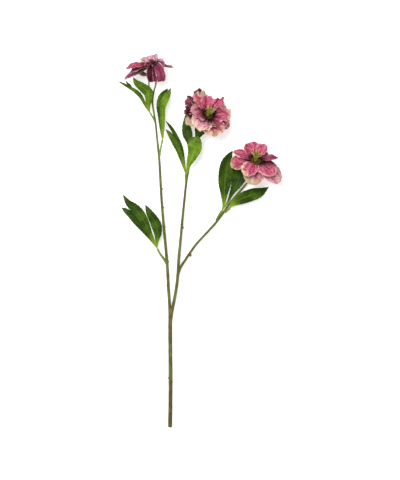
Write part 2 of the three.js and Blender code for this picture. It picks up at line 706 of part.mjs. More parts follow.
// Carries a branch on through its last two points, along the bloom's axis, into its receptacle.
function reachBloom(branch, bloom) {
  const radius = branch[branch.length - 1][3];
  const ends = [1.9, 0.9].map((lengths) => {
    const below = RECEPTACLE_TOP - lengths * RECEPTACLE_LENGTH;
    const point = new THREE.Vector3(0, 0, below).applyMatrix4(bloomFrame(bloom));
    return [...point.toArray(), radius];
  });
  return [...branch, ...ends];
}

// The four branches as tubes, wider all round by extra.
function branches(extra) {
  const points = {
    left: reachBloom(LEFT_BRANCH, BLOOMS.left),
    middle: reachBloom(MIDDLE_BRANCH, BLOOMS.middle),
    right: reachBloom(RIGHT_BRANCH, BLOOMS.right),
    bud: BUD_BRANCH,
  };
  return Object.entries(points).map(([side, branch]) =>
    tube(pathThrough(branch), STEM_SIDES, STEM_STEPS[side], { extra }),
  );
}

function stem() {
  const cups = Object.values(BLOOMS).map(receptacle);
  const knobs = KNOBS.map(([x, y, z, radius]) =>
    solid(new THREE.IcosahedronGeometry(radius).scale(1, KNOB_STRETCH, 1).translate(x, y, z)),
  );
  return trimmedAtTable(cleaned(joined([...branches(0), ...cups, ...knobs])));
}

// ---- the spray ----
const spray = new THREE.Group();
spray.position.set(CUT_END[0], CUT_END[1], 0);
spray.add(named("stem", stem(), FINISHES.stem));
const stemRoom = joined(branches(SEAT_GAP));
for (const [name, shape] of Object.entries(LEAVES)) {
  spray.add(named(name, leaf(shape, stemRoom), FINISHES.leaf));
}
for (const [side, bloom] of Object.entries(BLOOMS)) {
  spray.add(named(`bloom_${side}_petals`, petals(bloom), FINISHES.petals));
  spray.add(named(`bloom_${side}_stamens`, stamens(bloom), FINISHES.stamens));
}
spray.add(named("bud", bud(), FINISHES.bud));

export default spray;
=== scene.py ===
"""A cut hellebore spray at rest on a pale table: fine stem, leaves, double blooms and bud over their solids.

All shapes are worked out in millimetres, in the plan of the spray with the stem's cut end at (0, 0). They
are moved by CUT_END, the cut end's place in the shared frame, and turned to metres when a mesh is made.
"""

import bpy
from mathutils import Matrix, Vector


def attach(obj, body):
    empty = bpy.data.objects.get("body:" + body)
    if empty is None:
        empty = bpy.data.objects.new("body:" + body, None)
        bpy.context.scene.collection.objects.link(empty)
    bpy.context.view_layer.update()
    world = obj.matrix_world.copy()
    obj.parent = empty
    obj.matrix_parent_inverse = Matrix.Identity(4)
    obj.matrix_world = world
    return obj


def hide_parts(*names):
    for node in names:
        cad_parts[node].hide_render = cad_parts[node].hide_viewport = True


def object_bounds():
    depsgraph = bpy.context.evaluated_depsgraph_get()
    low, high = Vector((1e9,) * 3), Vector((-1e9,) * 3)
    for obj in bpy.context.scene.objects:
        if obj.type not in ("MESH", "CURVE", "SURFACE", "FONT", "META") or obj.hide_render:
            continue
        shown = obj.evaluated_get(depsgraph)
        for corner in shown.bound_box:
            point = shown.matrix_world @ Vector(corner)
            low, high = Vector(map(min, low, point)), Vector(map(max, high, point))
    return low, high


bl_info = {
    "name": "Hellebore Spray",
    "version": (1, 0, 0),
    "blender": (4, 5, 0),
    "location": "View3D > Sidebar > Hellebore",
    "description": "Ridged stem, toothed leaves, ruffled double blooms and a bud for a cut hellebore",
    "category": "Add Mesh",
}

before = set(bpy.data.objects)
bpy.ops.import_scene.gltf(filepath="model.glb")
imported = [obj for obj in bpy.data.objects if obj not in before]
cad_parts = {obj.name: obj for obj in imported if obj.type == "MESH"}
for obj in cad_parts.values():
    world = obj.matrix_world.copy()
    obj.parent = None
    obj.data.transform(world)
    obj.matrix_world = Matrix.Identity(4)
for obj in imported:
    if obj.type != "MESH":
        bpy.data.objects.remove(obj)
CAD_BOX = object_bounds()

import math

import bpy
import numpy as np
from bpy.props import FloatProperty, FloatVectorProperty, IntProperty, PointerProperty

MM = 0.001
BODY = "root"
CUT_END = np.array([-44.0, -278.8, 0.0])
UP = np.array([0.0, 0.0, 1.0])
RIM_THICKNESS = 0.4  # at the rim of a petal or leaflet, as a share of its thickness

# ---- the stem's routes: [x, y, z, radius] ----
STEM_RADIUS = 2.7
LYING = STEM_RADIUS * math.cos(math.pi / 8)
LEFT_BRANCH = [
    [0, 0, LYING, STEM_RADIUS], [0.6, 40, LYING, STEM_RADIUS], [0.8, 75, LYING, 2.75],
    [0.5, 115, LYING, 2.6], [0.3, 150, LYING + 0.2, 2.65], [0.4, 166, LYING + 0.5, 2.6],
    [-0.6, 183, 3.8, 2.1], [-2.1, 205, 4.8, 2.0], [-4.5, 247, 7.0, 1.95], [-8.1, 288, 9.2, 1.85],
    [-12.5, 340, 12.0, 1.75], [-15.9, 400, 15.6, 1.6], [-18.9, 430, 17.6, 1.45], [-21.6, 457, 19.2, 1.3],
    [-25.8, 486, 21.4, 1.2], [-23.8, 502, 23.0, 1.1], [-20.6, 515, 24.4, 1.05],
]
MIDDLE_BRANCH = [
    [0.8, 150, LYING + 0.2, 1.6], [2.0, 166, 3.2, 2.0], [3.8, 178, 3.6, 2.1], [6.5, 191, 4.0, 2.05],
    [11.1, 221, 5.2, 2.0], [13.0, 251, 6.6, 1.9], [15.8, 281, 8.0, 1.8], [18.6, 311, 9.6, 1.7],
    [21.6, 341, 11.4, 1.6], [24.6, 368, 13.2, 1.5], [27.4, 384, 14.0, 1.35], [30.6, 398, 14.6, 1.25],
    [35.6, 416, 15.2, 1.2], [41.4, 436, 15.8, 1.2],
]
RIGHT_BRANCH = [
    [11.4, 224, 5.2, 1.3], [13.4, 233, 5.4, 1.75], [16.6, 241, 5.5, 1.75], [22.4, 250, 5.6, 1.7],
    [29.0, 260, 5.7, 1.65], [39.5, 274.6, 5.8, 1.6], [54.1, 290.5, 5.9, 1.55], [71.1, 309.5, 6.0, 1.5],
    [93.0, 339.8, 6.0, 1.4], [110.0, 359.5, 5.8, 1.3], [121.0, 374.0, 5.9, 1.3],
]
BUD_BRANCH = [
    [-25.0, 481, 21.4, 0.8], [-27.0, 490, 22.6, 0.95], [-29.5, 500, 23.2, 0.9], [-31.0, 510, 23.4, 0.9],
    [-31.5, 518, 23.2, 0.9], [-32.2, 523.4, 23.0, 0.9], [-34.1, 526.0, 23.0, 0.9],
]
# Old bud scars: [x, y, z, radius].
SCARS = [
    [-1.9, 74, 3.2, 1.3], [-1.7, 113, 3.2, 1.1], [-14.6, 362, 15.0, 0.9], [16.6, 304, 10.6, 1.2],
    [19.4, 299.5, 9.6, 1.5], [30.8, 258.4, 7.2, 1.9], [-2.8, 248.4, 8.2, 1.5], [-4.3, 213, 6.2, 1.1],
    [-11.5, 357, 14, 1.1], [-9.5, 329, 12, 1], [-7.4, 300, 10.2, 1.1], [11.6, 229, 6.4, 1.5],
]
# Swollen rings round the stem at its forks and scars: [y, how brown the skin is there].
RINGS = [[68.4, 0.5], [150.5, 0.8], [166, 0.9], [228, 0.9], [304, 0.4], [362, 0.4], [258, 0.5], [113, 0.3]]

# ---- the blooms ----
PETAL_ROOT = 3.4
HUB_RADIUS = 4.2
HUB_TOP = 1.4
HUB_BOTTOM = -1.2
RECEPTACLE_TOP = HUB_BOTTOM - 0.3
RECEPTACLE_LENGTH = 6.0
RECEPTACLE_RADIUS = 3.4
RECEPTACLE_FOOT = 1.1
STAMEN_SEAT = HUB_TOP + 0.3
STAMEN_DISC_RADIUS = 2.55
STAMEN_TOP = STAMEN_SEAT + 1.6

# A bloom's petals stand on a hub so many mm tall. Its frill and its pleats are so many mm deep, its rim is
# ragged by that many times a sum of sines, and its stamens are so many mm long.
# A petal is its turn about the axis and how far its tip is out and up (mm), its width, the bow of its midrib
# in degrees, how blunt it is, cup, wave, its twist in degrees and how far up the hub its root is (mm). Then
# come its tone, its rim's tone, how far that comes in from the rim (mm) and leans to its left (-1 to 1), and
# how far the dark throat comes up it (0 to 1) and leans to its left. The throat is partly the petal's own
# dark base and partly painted shade where the petals meet.
# A grey rim on a petal is a painted sheen at its tip.
# A petal toned maroon is partly painted shade, for a petal that lies in the shade of others.
BLOOMS = {
    "left": {
        "centre": [-23.6, 539.4, 29.5],
        "axis": [-0.12, 0.9, 0.42],
        "stamens": 1.5,
        "hub": 6.4,
        "frill": 0.8,
        "ragged": 0.6,
        "pleat": 0.6,
        "petals": [
            (191, 47, -12, 22, 16, 0.85, 0.12, 0.06, 0, 0, "mauve", "blush", 5, 0, 0.3, 0),
            (80, 30, -6, 21, 60, 0.6, 0.1, 0.1, 0, 0, "pink", "blush", 3, 0, 0.3, 0),
            (137, 34, -3, 24, 50, 0.6, 0.1, 0.1, 0, 0, "pink", "straw", 7, 0, 0.3, 0),
            (293, 21, -24, 14, 160, 0.22, 0.06, 0.05, 0, 5.4, "magenta", "lilac", 1.1, 0, 0.35, -0.6),
            (252, 16.5, -23.6, 10, 150, 0.3, 0.3, 0.08, -8, 5.4, "maroon", "mauve", 2, 0.4, 0.4, 0),
            (3, 29, -6.5, 10, 20, 0.6, 0.1, 0.04, 0, 0, "mauve", "grey", 2, 0, 0.4, 0),
            (268, 13, -24.5, 14, 150, 0.3, 0.1, 0.08, 0, 5.4, "crimson", "maroon", 2, 0, 0.6, 0),
            (196, 38, -3, 17, 40, 0.9, 0.2, 0.08, 0, 0, "magenta", "shell", 3, 0, 0.3, 0),
            (189, 42, 3, 21, 40, 0.8, 0.18, 0.06, 0, 0, "rose", "mauve", 1.2, 0, 0.4, 0),
            (143, 22.5, 9.5, 21, 50, 0.7, 0.2, 0.12, 0, 0, "shell", "straw", 5, 0, 0.4, 0),
            (112, 13, 12.5, 19, 66, 0.5, 0.25, 0.14, 0, 0, "lilac", "lilac", 2, 0, 0.1, 0),
            (40, 9, 17, 11, 40, 0.9, 0.3, 0.06, 0, 0, "lilac", "mauve", 2, 0, 0.3, 0),
            (27, 18, 7.5, 8, 50, 1.1, 0.2, 0.1, 0, 0, "lilac", "grey", 2, 0, 0.3, 0),
            (206, 27, -6, 19, 60, 0.7, 0.2, 0.12, 0, 0, "olive", "umber", 2, 0, 0.3, 0),
            (228, 14, -5, 14, 90, 0.5, 0.3, 0.14, 20, 6.2, "crimson", "mauve", 1.5, 0, 0.5, 0),
            (257, 7, 9.5, 11, -30, 0.6, 0.3, 0.12, -24, 5, "maroon", "shell", 1.2, 0, 0.6, 0),
            (286, 11.5, -7, 11, 90, 0.6, 0.4, 0.14, -16, 6.2, "mauve", "shell", 2.5, 0.4, 0.4, 0),
            (314, 15, -7, 18, 80, 0.5, 0.3, 0.14, 12, 6.2, "mauve", "lilac", 1.6, 0, 0.4, 0),
        ],
    },
    "middle": {
        "centre": [56.6, 465.6, 25],
        "axis": [0.25, 0.6, 0.76],
        "stamens": 15,
        "hub": 1.4,
        "frill": 2.9,
        "ragged": 1.15,
        "pleat": 1.3,
        "petals": [
            (207, 36, -8, 20, 60, 0.65, 0.1, 0.14, 0, 0, "shell", "straw", 10, 0, 0.25, 0),
            (172, 36, -3, 34, 50, 0.7, 0.1, 0.12, 0, 0, "maroon", "mauve", 6, 0, 0.6, 0),
            (115, 46.4, 6, 18.5, 34, 0.36, 0.2, 0.1, 0, 0, "maroon", "maroon", 1, 0, 0.2, 0),
            (25, 38, -2, 22, 50, 0.5, 0.1, 0.14, 0, 0, "shell", "cream", 9, 0, 0.4, 0),
            (284, 40, 2, 34, 50, 0.5, 0.1, 0.18, 0, 0, "pink", "cream", 9, 0, 0.4, 0),
            (329, 35.5, 0, 28, 50, 0.5, 0.1, 0.18, 0, 0, "pink", "shell", 7, 0, 0.5, 0),
            (154, 41, 5, 26, 40, 0.8, 0.25, 0.1, 0, 0, "crimson", "mauve", 8, 0, 0.8, 0),
            (135, 36, 12, 18, 40, 0.7, 0.3, 0.08, 14, 0, "coral", "blush", 4, 0.8, 0.5, -0.5),
            (103, 25, 17, 22, 34, 0.5, 0.2, 0.14, 0, 0, "hot", "blush", 2, 0, 0.35, 0),
            (53, 35.8, 14, 16, 34, 1.5, 0.2, 0.06, 0, 0, "hot", "grey", 2.5, 0, 0.3, 0),
            (349, 32, 10, 27, 60, 0.5, 0.14, 0.18, 0, 0, "pink", "blush", 5, 0, 0.5, 0),
            (316, 34, 7, 30, 60, 0.5, 0.14, 0.14, 0, 0, "crimson", "peach", 5, 0, 0.6, 0),
            (243, 38.5, 5.5, 32, 60, 0.5, 0.14, 0.16, 0, 0, "blush", "cream", 9, -0.5, 0.6, 0),
            (203, 30, 12, 29, 60, 0.5, 0.14, 0.16, 0, 0, "pink", "shell", 8, 0, 0.6, 0),
            (139, 44, 4, 18, 30, 1.1, 0.2, 0.06, 0, 0, "maroon", "grey", 2, 0, 0.4, 0),
            (119, 38.5, 9.5, 22, 34, 0.42, 0.2, 0.12, 0, 0, "shell", "lime", 6, -0.4, 0.2, 0),
        ],
    },
    "right": {
        "centre": [128.2, 398.6, 17.6],
        "axis": [0.06, 0.61, 0.79],
        "stamens": 17,
        "hub": 1.4,
        "frill": 0.6,
        "ragged": 0.8,
        "pleat": 0.5,
        "petals": [
            (191, 38, -4, 27, 46, 0.5, 0.08, 0.08, 0, 0, "pink", "lime", 6.5, 0.7, 0.4, -0.4),
            (264, 40, -8, 30, 50, 0.5, 0.1, 0.1, 0, 0, "blush", "lime", 15, -0.8, 0.3, 0),
            (318, 48, -10, 29, 50, 0.55, 0.08, 0.1, 0, 0, "blush", "shell", 10, 0.6, 0.3, 0),
            (36, 25, -2, 14, 60, 0.9, 0.1, 0.1, 0, 0, "magenta", "maroon", 2, 0, 0.4, 0),
            (112, 27, -1, 20, 50, 0.6, 0.08, 0.12, 0, 0, "pink", "mauve", 1.5, 0, 0.5, 0),
            (166, 36, 8, 16, 46, 0.85, 0.2, 0.06, 0, 0, "hot", "cream", 3, 0.3, 0.35, 0),
            (246, 38, 6, 24, 56, 0.55, 0.12, 0.06, 0, 0, "hot", "cream", 5.5, -0.9, 0.25, 0),
            (309, 41, 6, 28, 50, 0.5, 0.12, 0.1, 0, 0, "pink", "blush", 4, 0, 0.55, 0.6),
            (357, 33, 11, 11, 40, 1.2, 0.25, 0.06, 0, 0, "magenta", "maroon", 2, 0, 0.4, 0),
            (61, 28, 12, 17, 50, 1.0, 0.16, 0.08, 0, 0, "hot", "blush", 3, 0.4, 0.3, 0),
            (112, 27, 12, 23, 40, 0.33, 0.14, 0.14, 0, 0, "hot", "blush", 2, 0, 0.45, 0),
        ],
    },
}
BUD = {"base": [-34.7, 526.4, 23], "axis": [-0.94, 0.33, 0.05], "length": 14, "radius": 3.4}

# ---- the leaves ----
# A leaflet is (roll, keel, light, spine): roll tips the blade about its spine in degrees, keel folds it up
# along it, light says how light its green is, and the spine's points are [x, y, z, half width].
LEAVES = {
    "leaf_lower": {
        "slot": "leaf_dark",
        "stalk": [[-5.2, 245.5, 7, 1.6], [-9, 252, 7.6, 1.5], [-15, 260, 8.4, 1.3], [-20, 269.5, 9, 1.4]],
        "leaflets": [
            (12, 0.14, 0.2, [
                [-20, 269.5, 9, 0.9], [-23.5, 277, 10, 2.2], [-31.2, 293.5, 11.5, 4],
                [-37.6, 307.2, 12, 6.6], [-44.8, 319.5, 11, 7.4], [-54, 329.3, 9.5, 7],
                [-62.5, 336.5, 7, 4.6], [-71, 349.5, 3, 0.1],
            ]),
            (-14, 0.14, 0.1, [
                [-20, 269.5, 9, 0.9], [-27.5, 281, 9.5, 2.7], [-38.5, 295, 9.5, 4.3],
                [-49, 306.5, 7.5, 5.1], [-59, 318, 5.5, 4.8], [-65.5, 324, 4.5, 4], [-73, 329.5, 3, 0.1],
            ]),
            (14, 0.16, 0.15, [
                [-19.5, 269.5, 9, 0.9], [-19, 280, 11, 2.9], [-18, 292.5, 13.5, 6.6], [-20.8, 305, 13, 8],
                [-28, 317.5, 12, 6.1], [-33, 326, 10, 3.9], [-37, 333.5, 8, 0.1],
            ]),
        ],
    },
    "leaf_top_left": {
        "slot": "leaf_light",
        "stalk": [
            [-21.6, 455, 20.6, 1.1], [-24, 461, 22.6, 1.1], [-27.4, 466.4, 24.6, 1],
            [-30.5, 471.5, 26, 1.2],
        ],
        "leaflets": [
            (12, 0.14, 0.65, [
                [-30, 471.5, 26, 0.9], [-32, 479.5, 28, 3.2], [-31, 492, 31, 5.8], [-32.6, 501, 32, 7.4],
                [-40.3, 507.7, 33, 6.7], [-49.9, 515, 31.5, 4.1], [-54.5, 523, 30, 0.1],
            ]),
            (10, 0.4, 0.45, [
                [-30.5, 471.5, 26, 0.9], [-35.4, 479.5, 27.5, 1.7], [-42.8, 494, 30, 2.9],
                [-48.3, 500, 30.5, 3.2], [-54.3, 504.4, 30.5, 2.7], [-60.4, 508, 30, 2.3],
                [-68.3, 512.6, 29, 1.8], [-78.5, 517.3, 27, 0.1],
            ]),
            (10, 0.4, 0.1, [
                [-56, 505.5, 30, 0.9], [-59.5, 510, 30, 2.3], [-62.5, 513.5, 30, 1.6],
                [-66.5, 518.5, 30, 0.1],
            ]),
        ],
    },
    "leaf_top_right": {
        "slot": "leaf_light",
        "stalk": [
            [-15.4, 406, 17.4, 1.1], [-14.6, 412, 18.6, 1], [-12.8, 422, 20, 1], [-10.8, 432, 21, 1.3],
        ],
        "leaflets": [
            (0, 0.12, 1, [
                [-10.5, 431, 21, 0.9], [-10.5, 444.5, 22.5, 2.5], [-11, 463, 24, 3.9],
                [-10.5, 478.5, 25, 4.4], [-6, 491.5, 23, 5.2], [-2, 499.5, 21, 3.7], [1.5, 507.5, 19, 0.1],
            ]),
            (0, 0.1, 0.4, [
                [-11, 431, 21, 0.9], [-13, 444.5, 20.5, 1.9], [-14.5, 464, 19, 3.3], [-14.5, 482, 17, 5.6],
                [-11.5, 493.5, 14.5, 5.9], [-6.5, 501.5, 12, 4], [-3.5, 507.5, 10, 0.1],
            ]),
        ],
    },
    "leaf_middle": {
        "slot": "leaf_light",
        "stalk": [[24, 367, 15.6, 1.3], [23.6, 373, 16.6, 1.3], [24, 381, 18.6, 1.9]],
        "leaflets": [
            (-10, 0.14, 0.6, [
                [24, 379, 18, 0.9], [20, 393.5, 19, 2.5], [13.5, 413.5, 19.5, 4.2], [6.5, 427.5, 18.5, 4.5],
                [0, 438.5, 15.5, 3.4], [-6.5, 446.5, 13, 0.1],
            ]),
            (-10, 0.14, 0.1, [
                [24, 379, 18, 0.9], [21, 397, 16.5, 1.8], [16, 419, 14.5, 3.3], [9, 436, 13, 2.8],
                [1, 449.5, 10, 2.3], [-7, 459.5, 8, 0.1],
            ]),
            (6, 0.1, 1, [
                [25, 379, 18.5, 0.9], [28, 392, 22.5, 3.4], [33.5, 405.5, 25, 7.4], [37.5, 418.5, 26, 10.4],
                [36, 428, 25, 10.2], [33.5, 432.5, 24, 7.1], [33, 434.5, 24, 0.1],
            ]),
            (10, 0.12, 0.1, [
                [25, 379, 18.5, 0.9], [29.5, 403, 19, 2.2], [30, 424.5, 17, 4.4], [26.5, 438.5, 15.5, 7.5],
                [25, 447.5, 14, 6.8], [24.5, 460.5, 11.5, 4.2], [25, 473, 9, 0.1],
            ]),
            (-6, 0.12, 0.15, [
                [25.5, 379, 18.5, 0.9], [32, 402.5, 19.5, 2.5], [38.5, 424.5, 20.5, 3.6],
                [41.5, 434.5, 21, 4.2], [45.5, 445, 21, 8.9], [48.5, 451, 20.6, 7.4],
                [50.5, 457.5, 19.6, 0.1],
            ]),
        ],
    },
    "leaf_right_upper": {
        "slot": "leaf_dark",
        "stalk": [[69, 309.4, 7.6, 1.2], [72.4, 316, 8.6, 1.3], [79, 326, 9.8, 1.9]],
        "leaflets": [
            (-8, 0.14, 0.15, [
                [78.5, 325.5, 9.5, 0.9], [80.5, 334.5, 10, 2.2], [81, 348, 11, 5.2],
                [81.8, 364.5, 10.5, 9.4], [83.6, 381.5, 9, 11.1], [85.8, 397, 6.5, 8.7],
                [89.5, 407.5, 4.5, 4.1], [94, 414.5, 3, 0.1],
            ]),
            (6, 0.14, 0.05, [
                [79, 326, 9.5, 0.9], [86.5, 337, 10, 1.7], [93, 351.5, 10.5, 3.7], [100.1, 365, 9, 8.5],
                [104, 376.5, 8, 11.3], [105, 389, 5.5, 9.2], [106, 403, 3.5, 0.1],
            ]),
        ],
    },
    "leaf_right_lower": {
        "slot": "leaf_dark",
        "stalk": [[82, 321.6, 7, 1.2], [85.6, 325.2, 7.6, 1.3], [90.4, 329.5, 8.4, 1.7]],
        "leaflets": [
            (-6, 0.14, 0.2, [
                [89.5, 328.5, 8.5, 0.9], [94.3, 334.8, 9, 4.2], [106.3, 342, 10.5, 8.2],
                [121.5, 348, 9, 9.3], [134.5, 352, 7, 7.2], [142.5, 356.5, 5.5, 3.2], [148, 360, 4, 0.1],
            ]),
        ],
    },
}


# ---- colour and nodes ----
def linear(code):
    """A hex sRGB colour as linear red, green, blue and alpha 1."""
    channels = np.array([int(code[i : i + 2], 16) for i in (1, 3, 5)]) / 255
    dark = channels / 12.92
    bright = ((channels + 0.055) / 1.055) ** 2.4
    return (*np.where(channels <= 0.04045, dark, bright).tolist(), 1.0)


def add(tree, kind, inputs=(), out=0, **settings):
    """Adds a node with its settings, links or sets its inputs by name or by order, and gives one output."""
    node = tree.nodes.new(f"ShaderNode{kind}")
    for name, value in settings.items():
        setattr(node, name, value)
    for key, value in inputs.items() if isinstance(inputs, dict) else enumerate(inputs):
        if isinstance(value, bpy.types.NodeSocket):
            tree.links.new(value, node.inputs[key])
        else:
            node.inputs[key].default_value = value
    return node.outputs[out] if node.outputs else node


def start_material(name):
    """A new material with an empty node tree."""
    made = bpy.data.materials.new(name)
    made.use_nodes = True
    made.node_tree.nodes.clear()
    return made, made.node_tree


SMOOTH = {"interpolation_type": "SMOOTHSTEP"}
COVER = {"data_type": "RGBA"}
DARKEN = {"data_type": "RGBA", "blend_type": "MULTIPLY"}
FINE = 1 / MM  # pattern scales on Object coordinates are in waves for each millimetre, times this


def across_and_along(tree):
    """How far across and along its sheet or tube a point lies: shares, but metres along the stem."""
    across = add(tree, "SeparateXYZ", [add(tree, "UVMap", out="UV", uv_map="Surface")], "X")
    return across, across.node.outputs["Y"]


def stretched(tree, across, along, wide, long, seed=0.0):
    """A pattern's coordinates, with so many waves across the surface and so many along it.

    The seed gives each sheet a pattern of its own.
    """
    u = add(tree, "Math", [across, wide], operation="MULTIPLY")
    v = add(tree, "Math", [along, long], operation="MULTIPLY")
    return add(tree, "CombineXYZ", [u, v, seed])


def paint(tree, skin, layers):
    """Lays tones over a skin, one after the other, and gives the painted skin.

    A layer is a driver, a span, a tone, and whether the tone covers or darkens. The span turns the driver
    into the tone's share: from, to, and the shares there, 0 and 1 if none are given. Without a span the
    driver is the share. For colours, a Mix node takes its inputs 0, 6 and 7 and gives its output 2.
    """
    for driver, span, tone, blend in layers:
        share = add(tree, "MapRange", [driver, *span], **SMOOTH) if span else driver
        skin = add(tree, "Mix", {0: share, 6: skin, 7: tone}, 2, **blend)
    return skin


def finish_material(tree, skin, relief, strength, depth, look):
    """Gives a material its skin tone, a relief so many mm deep, and the rest of its look."""
    bump = add(tree, "Bump", {"Strength": strength, "Distance": depth * MM, "Height": relief})
    shader = add(tree, "BsdfPrincipled", {"Base Color": skin, "Normal": bump, **look})
    add(tree, "OutputMaterial", [shader])


def petal_skin(tones):
    """Hellebore petal, a thin living skin, matt from its papery cells.

    It gives a dusky pink that is mottled and streaks lengthwise, with paler ridges and darker folds that are
    painted light and shade, darker veins that fan from the claw, a paler or greenish rim with an uneven
    edge, a light band along the edge that is a painted highlight, and a maroon throat that runs out along
    the veins from an olive heart; the throat is partly the petal's own dark base and partly painted shade.
    """
    made, tree = start_material("hellebore_petal_skin")
    place = add(tree, "TexCoord", out="Object")
    across, along = across_and_along(tree)
    names = ("seed", "rim", "reach", "throat", "under", "ridge")
    carried = [add(tree, "Attribute", out="Fac", attribute_name=name) for name in names]
    seed, rim, reach, throat, under, ridge = carried
    own_tone = add(tree, "Attribute", out="Color", attribute_name="tone")
    rim_tone = add(tree, "Attribute", out="Color", attribute_name="rim_tone")

    # Streaks, about nine across a petal and many times as long as wide.
    fan = stretched(tree, across, along, 9.0, 1.6, seed)
    streak = add(tree, "TexNoise", {"Vector": fan, "Scale": 1.0, "Detail": 3.0, "Roughness": 0.65}, "Fac")
    # Veins: thin dark lines where a smoother noise crosses its middle.
    fan = stretched(tree, across, along, 9.0, 2.2, seed)
    net = add(tree, "TexNoise", {"Vector": fan, "Scale": 1.0, "Detail": 2.0, "Distortion": 0.7}, "Fac")
    crossing = add(tree, "Math", [net, 0.5], operation="SUBTRACT")
    crossing = add(tree, "Math", [crossing], operation="ABSOLUTE")
    vein = add(tree, "MapRange", [crossing, 0.0, 0.05, 1.0, 0.0], **SMOOTH)
    near_claw = add(tree, "MapRange", [along, 0.3, 0.85, 0.45, 0.08], **SMOOTH)
    veined = add(tree, "Math", [vein, near_claw], operation="MULTIPLY")

    # Painted shade darkens the folds and painted light pales the ridges, by the ridge value; both are
    # mottled.
    patch = add(tree, "TexNoise", {"Vector": place, "Scale": 0.11 * FINE, "Detail": 2.0}, "Fac")
    spots = {"Vector": place, "Scale": 0.3 * FINE, "Detail": 5.0, "Roughness": 0.62}
    mottle = add(tree, "TexNoise", spots, "Fac")
    mixed = add(tree, "Mix", {"Factor": 0.4, "A": mottle, "B": streak})
    mixed = add(tree, "Math", [ridge, 0.05, mixed], operation="MULTIPLY_ADD")
    lit = add(tree, "HueSaturation", {"Saturation": 0.86, "Value": 1.13, "Color": own_tone})

    # The edge of the rim's tone wanders with the streaks, the grain and large blotches.
    grain = add(tree, "TexNoise", {"Vector": place, "Scale": 0.6 * FINE, "Detail": 3.0}, "Fac")
    blotch = add(tree, "TexNoise", {"Vector": place, "Scale": 0.17 * FINE, "Detail": 2.0}, "Fac")
    wander = add(tree, "Math", [grain, 4.0, rim], operation="MULTIPLY_ADD")
    wander = add(tree, "Math", [streak, -7.0, wander], operation="MULTIPLY_ADD")
    wander = add(tree, "Math", [wander, 1.5], operation="ADD")
    wander = add(tree, "Math", [wander, reach], operation="DIVIDE")
    wander = add(tree, "Math", [blotch, 2.6, wander], operation="MULTIPLY_ADD")

    # The throat, partly the petal's own dark base and partly painted shade where the petals meet, runs out
    # along the streaks.
    runs = add(tree, "Math", [streak, 0.55, along], operation="MULTIPLY_ADD")
    runs = add(tree, "Math", [runs, 0.275], operation="SUBTRACT")
    runs = add(tree, "Math", [runs, throat], operation="DIVIDE")
    shaded = add(tree, "Math", [under, 0.25], operation="MULTIPLY")
    layers = [
        (1.0, None, tones.shade, DARKEN),
        (mixed, (0.36, 0.62, 0.0, 1.0), lit, COVER),
        (patch, (0.42, 0.7, 0.0, 0.45), tones.patch, DARKEN),
        (wander, (0.9, 2.5, 0.95, 0.0), rim_tone, COVER),
        # painted highlight: a light band along the last 1.4 mm of every rim
        (rim, (0.0, 1.4, 0.35, 0.0), tones.light, COVER),
        (veined, None, tones.vein, DARKEN),
        (runs, (0.45, 1.25, 1.0, 0.0), tones.throat, COVER),
        (along, (0.04, 0.2, 0.6, 0.0), tones.heart, COVER),
        (shaded, None, tones.underside, COVER),
    ]
    relief = add(tree, "Math", [vein, -0.6, streak], operation="MULTIPLY_ADD")
    look = {"Roughness": 0.55, "IOR": 1.42, "Specular IOR Level": 0.08, "Subsurface Weight": 0.06}
    look |= {"Subsurface Radius": (1.0, 0.4, 0.3), "Subsurface Scale": 1.0 * MM}
    finish_material(tree, paint(tree, own_tone, layers), relief, 0.4, 0.3, look)
    return made


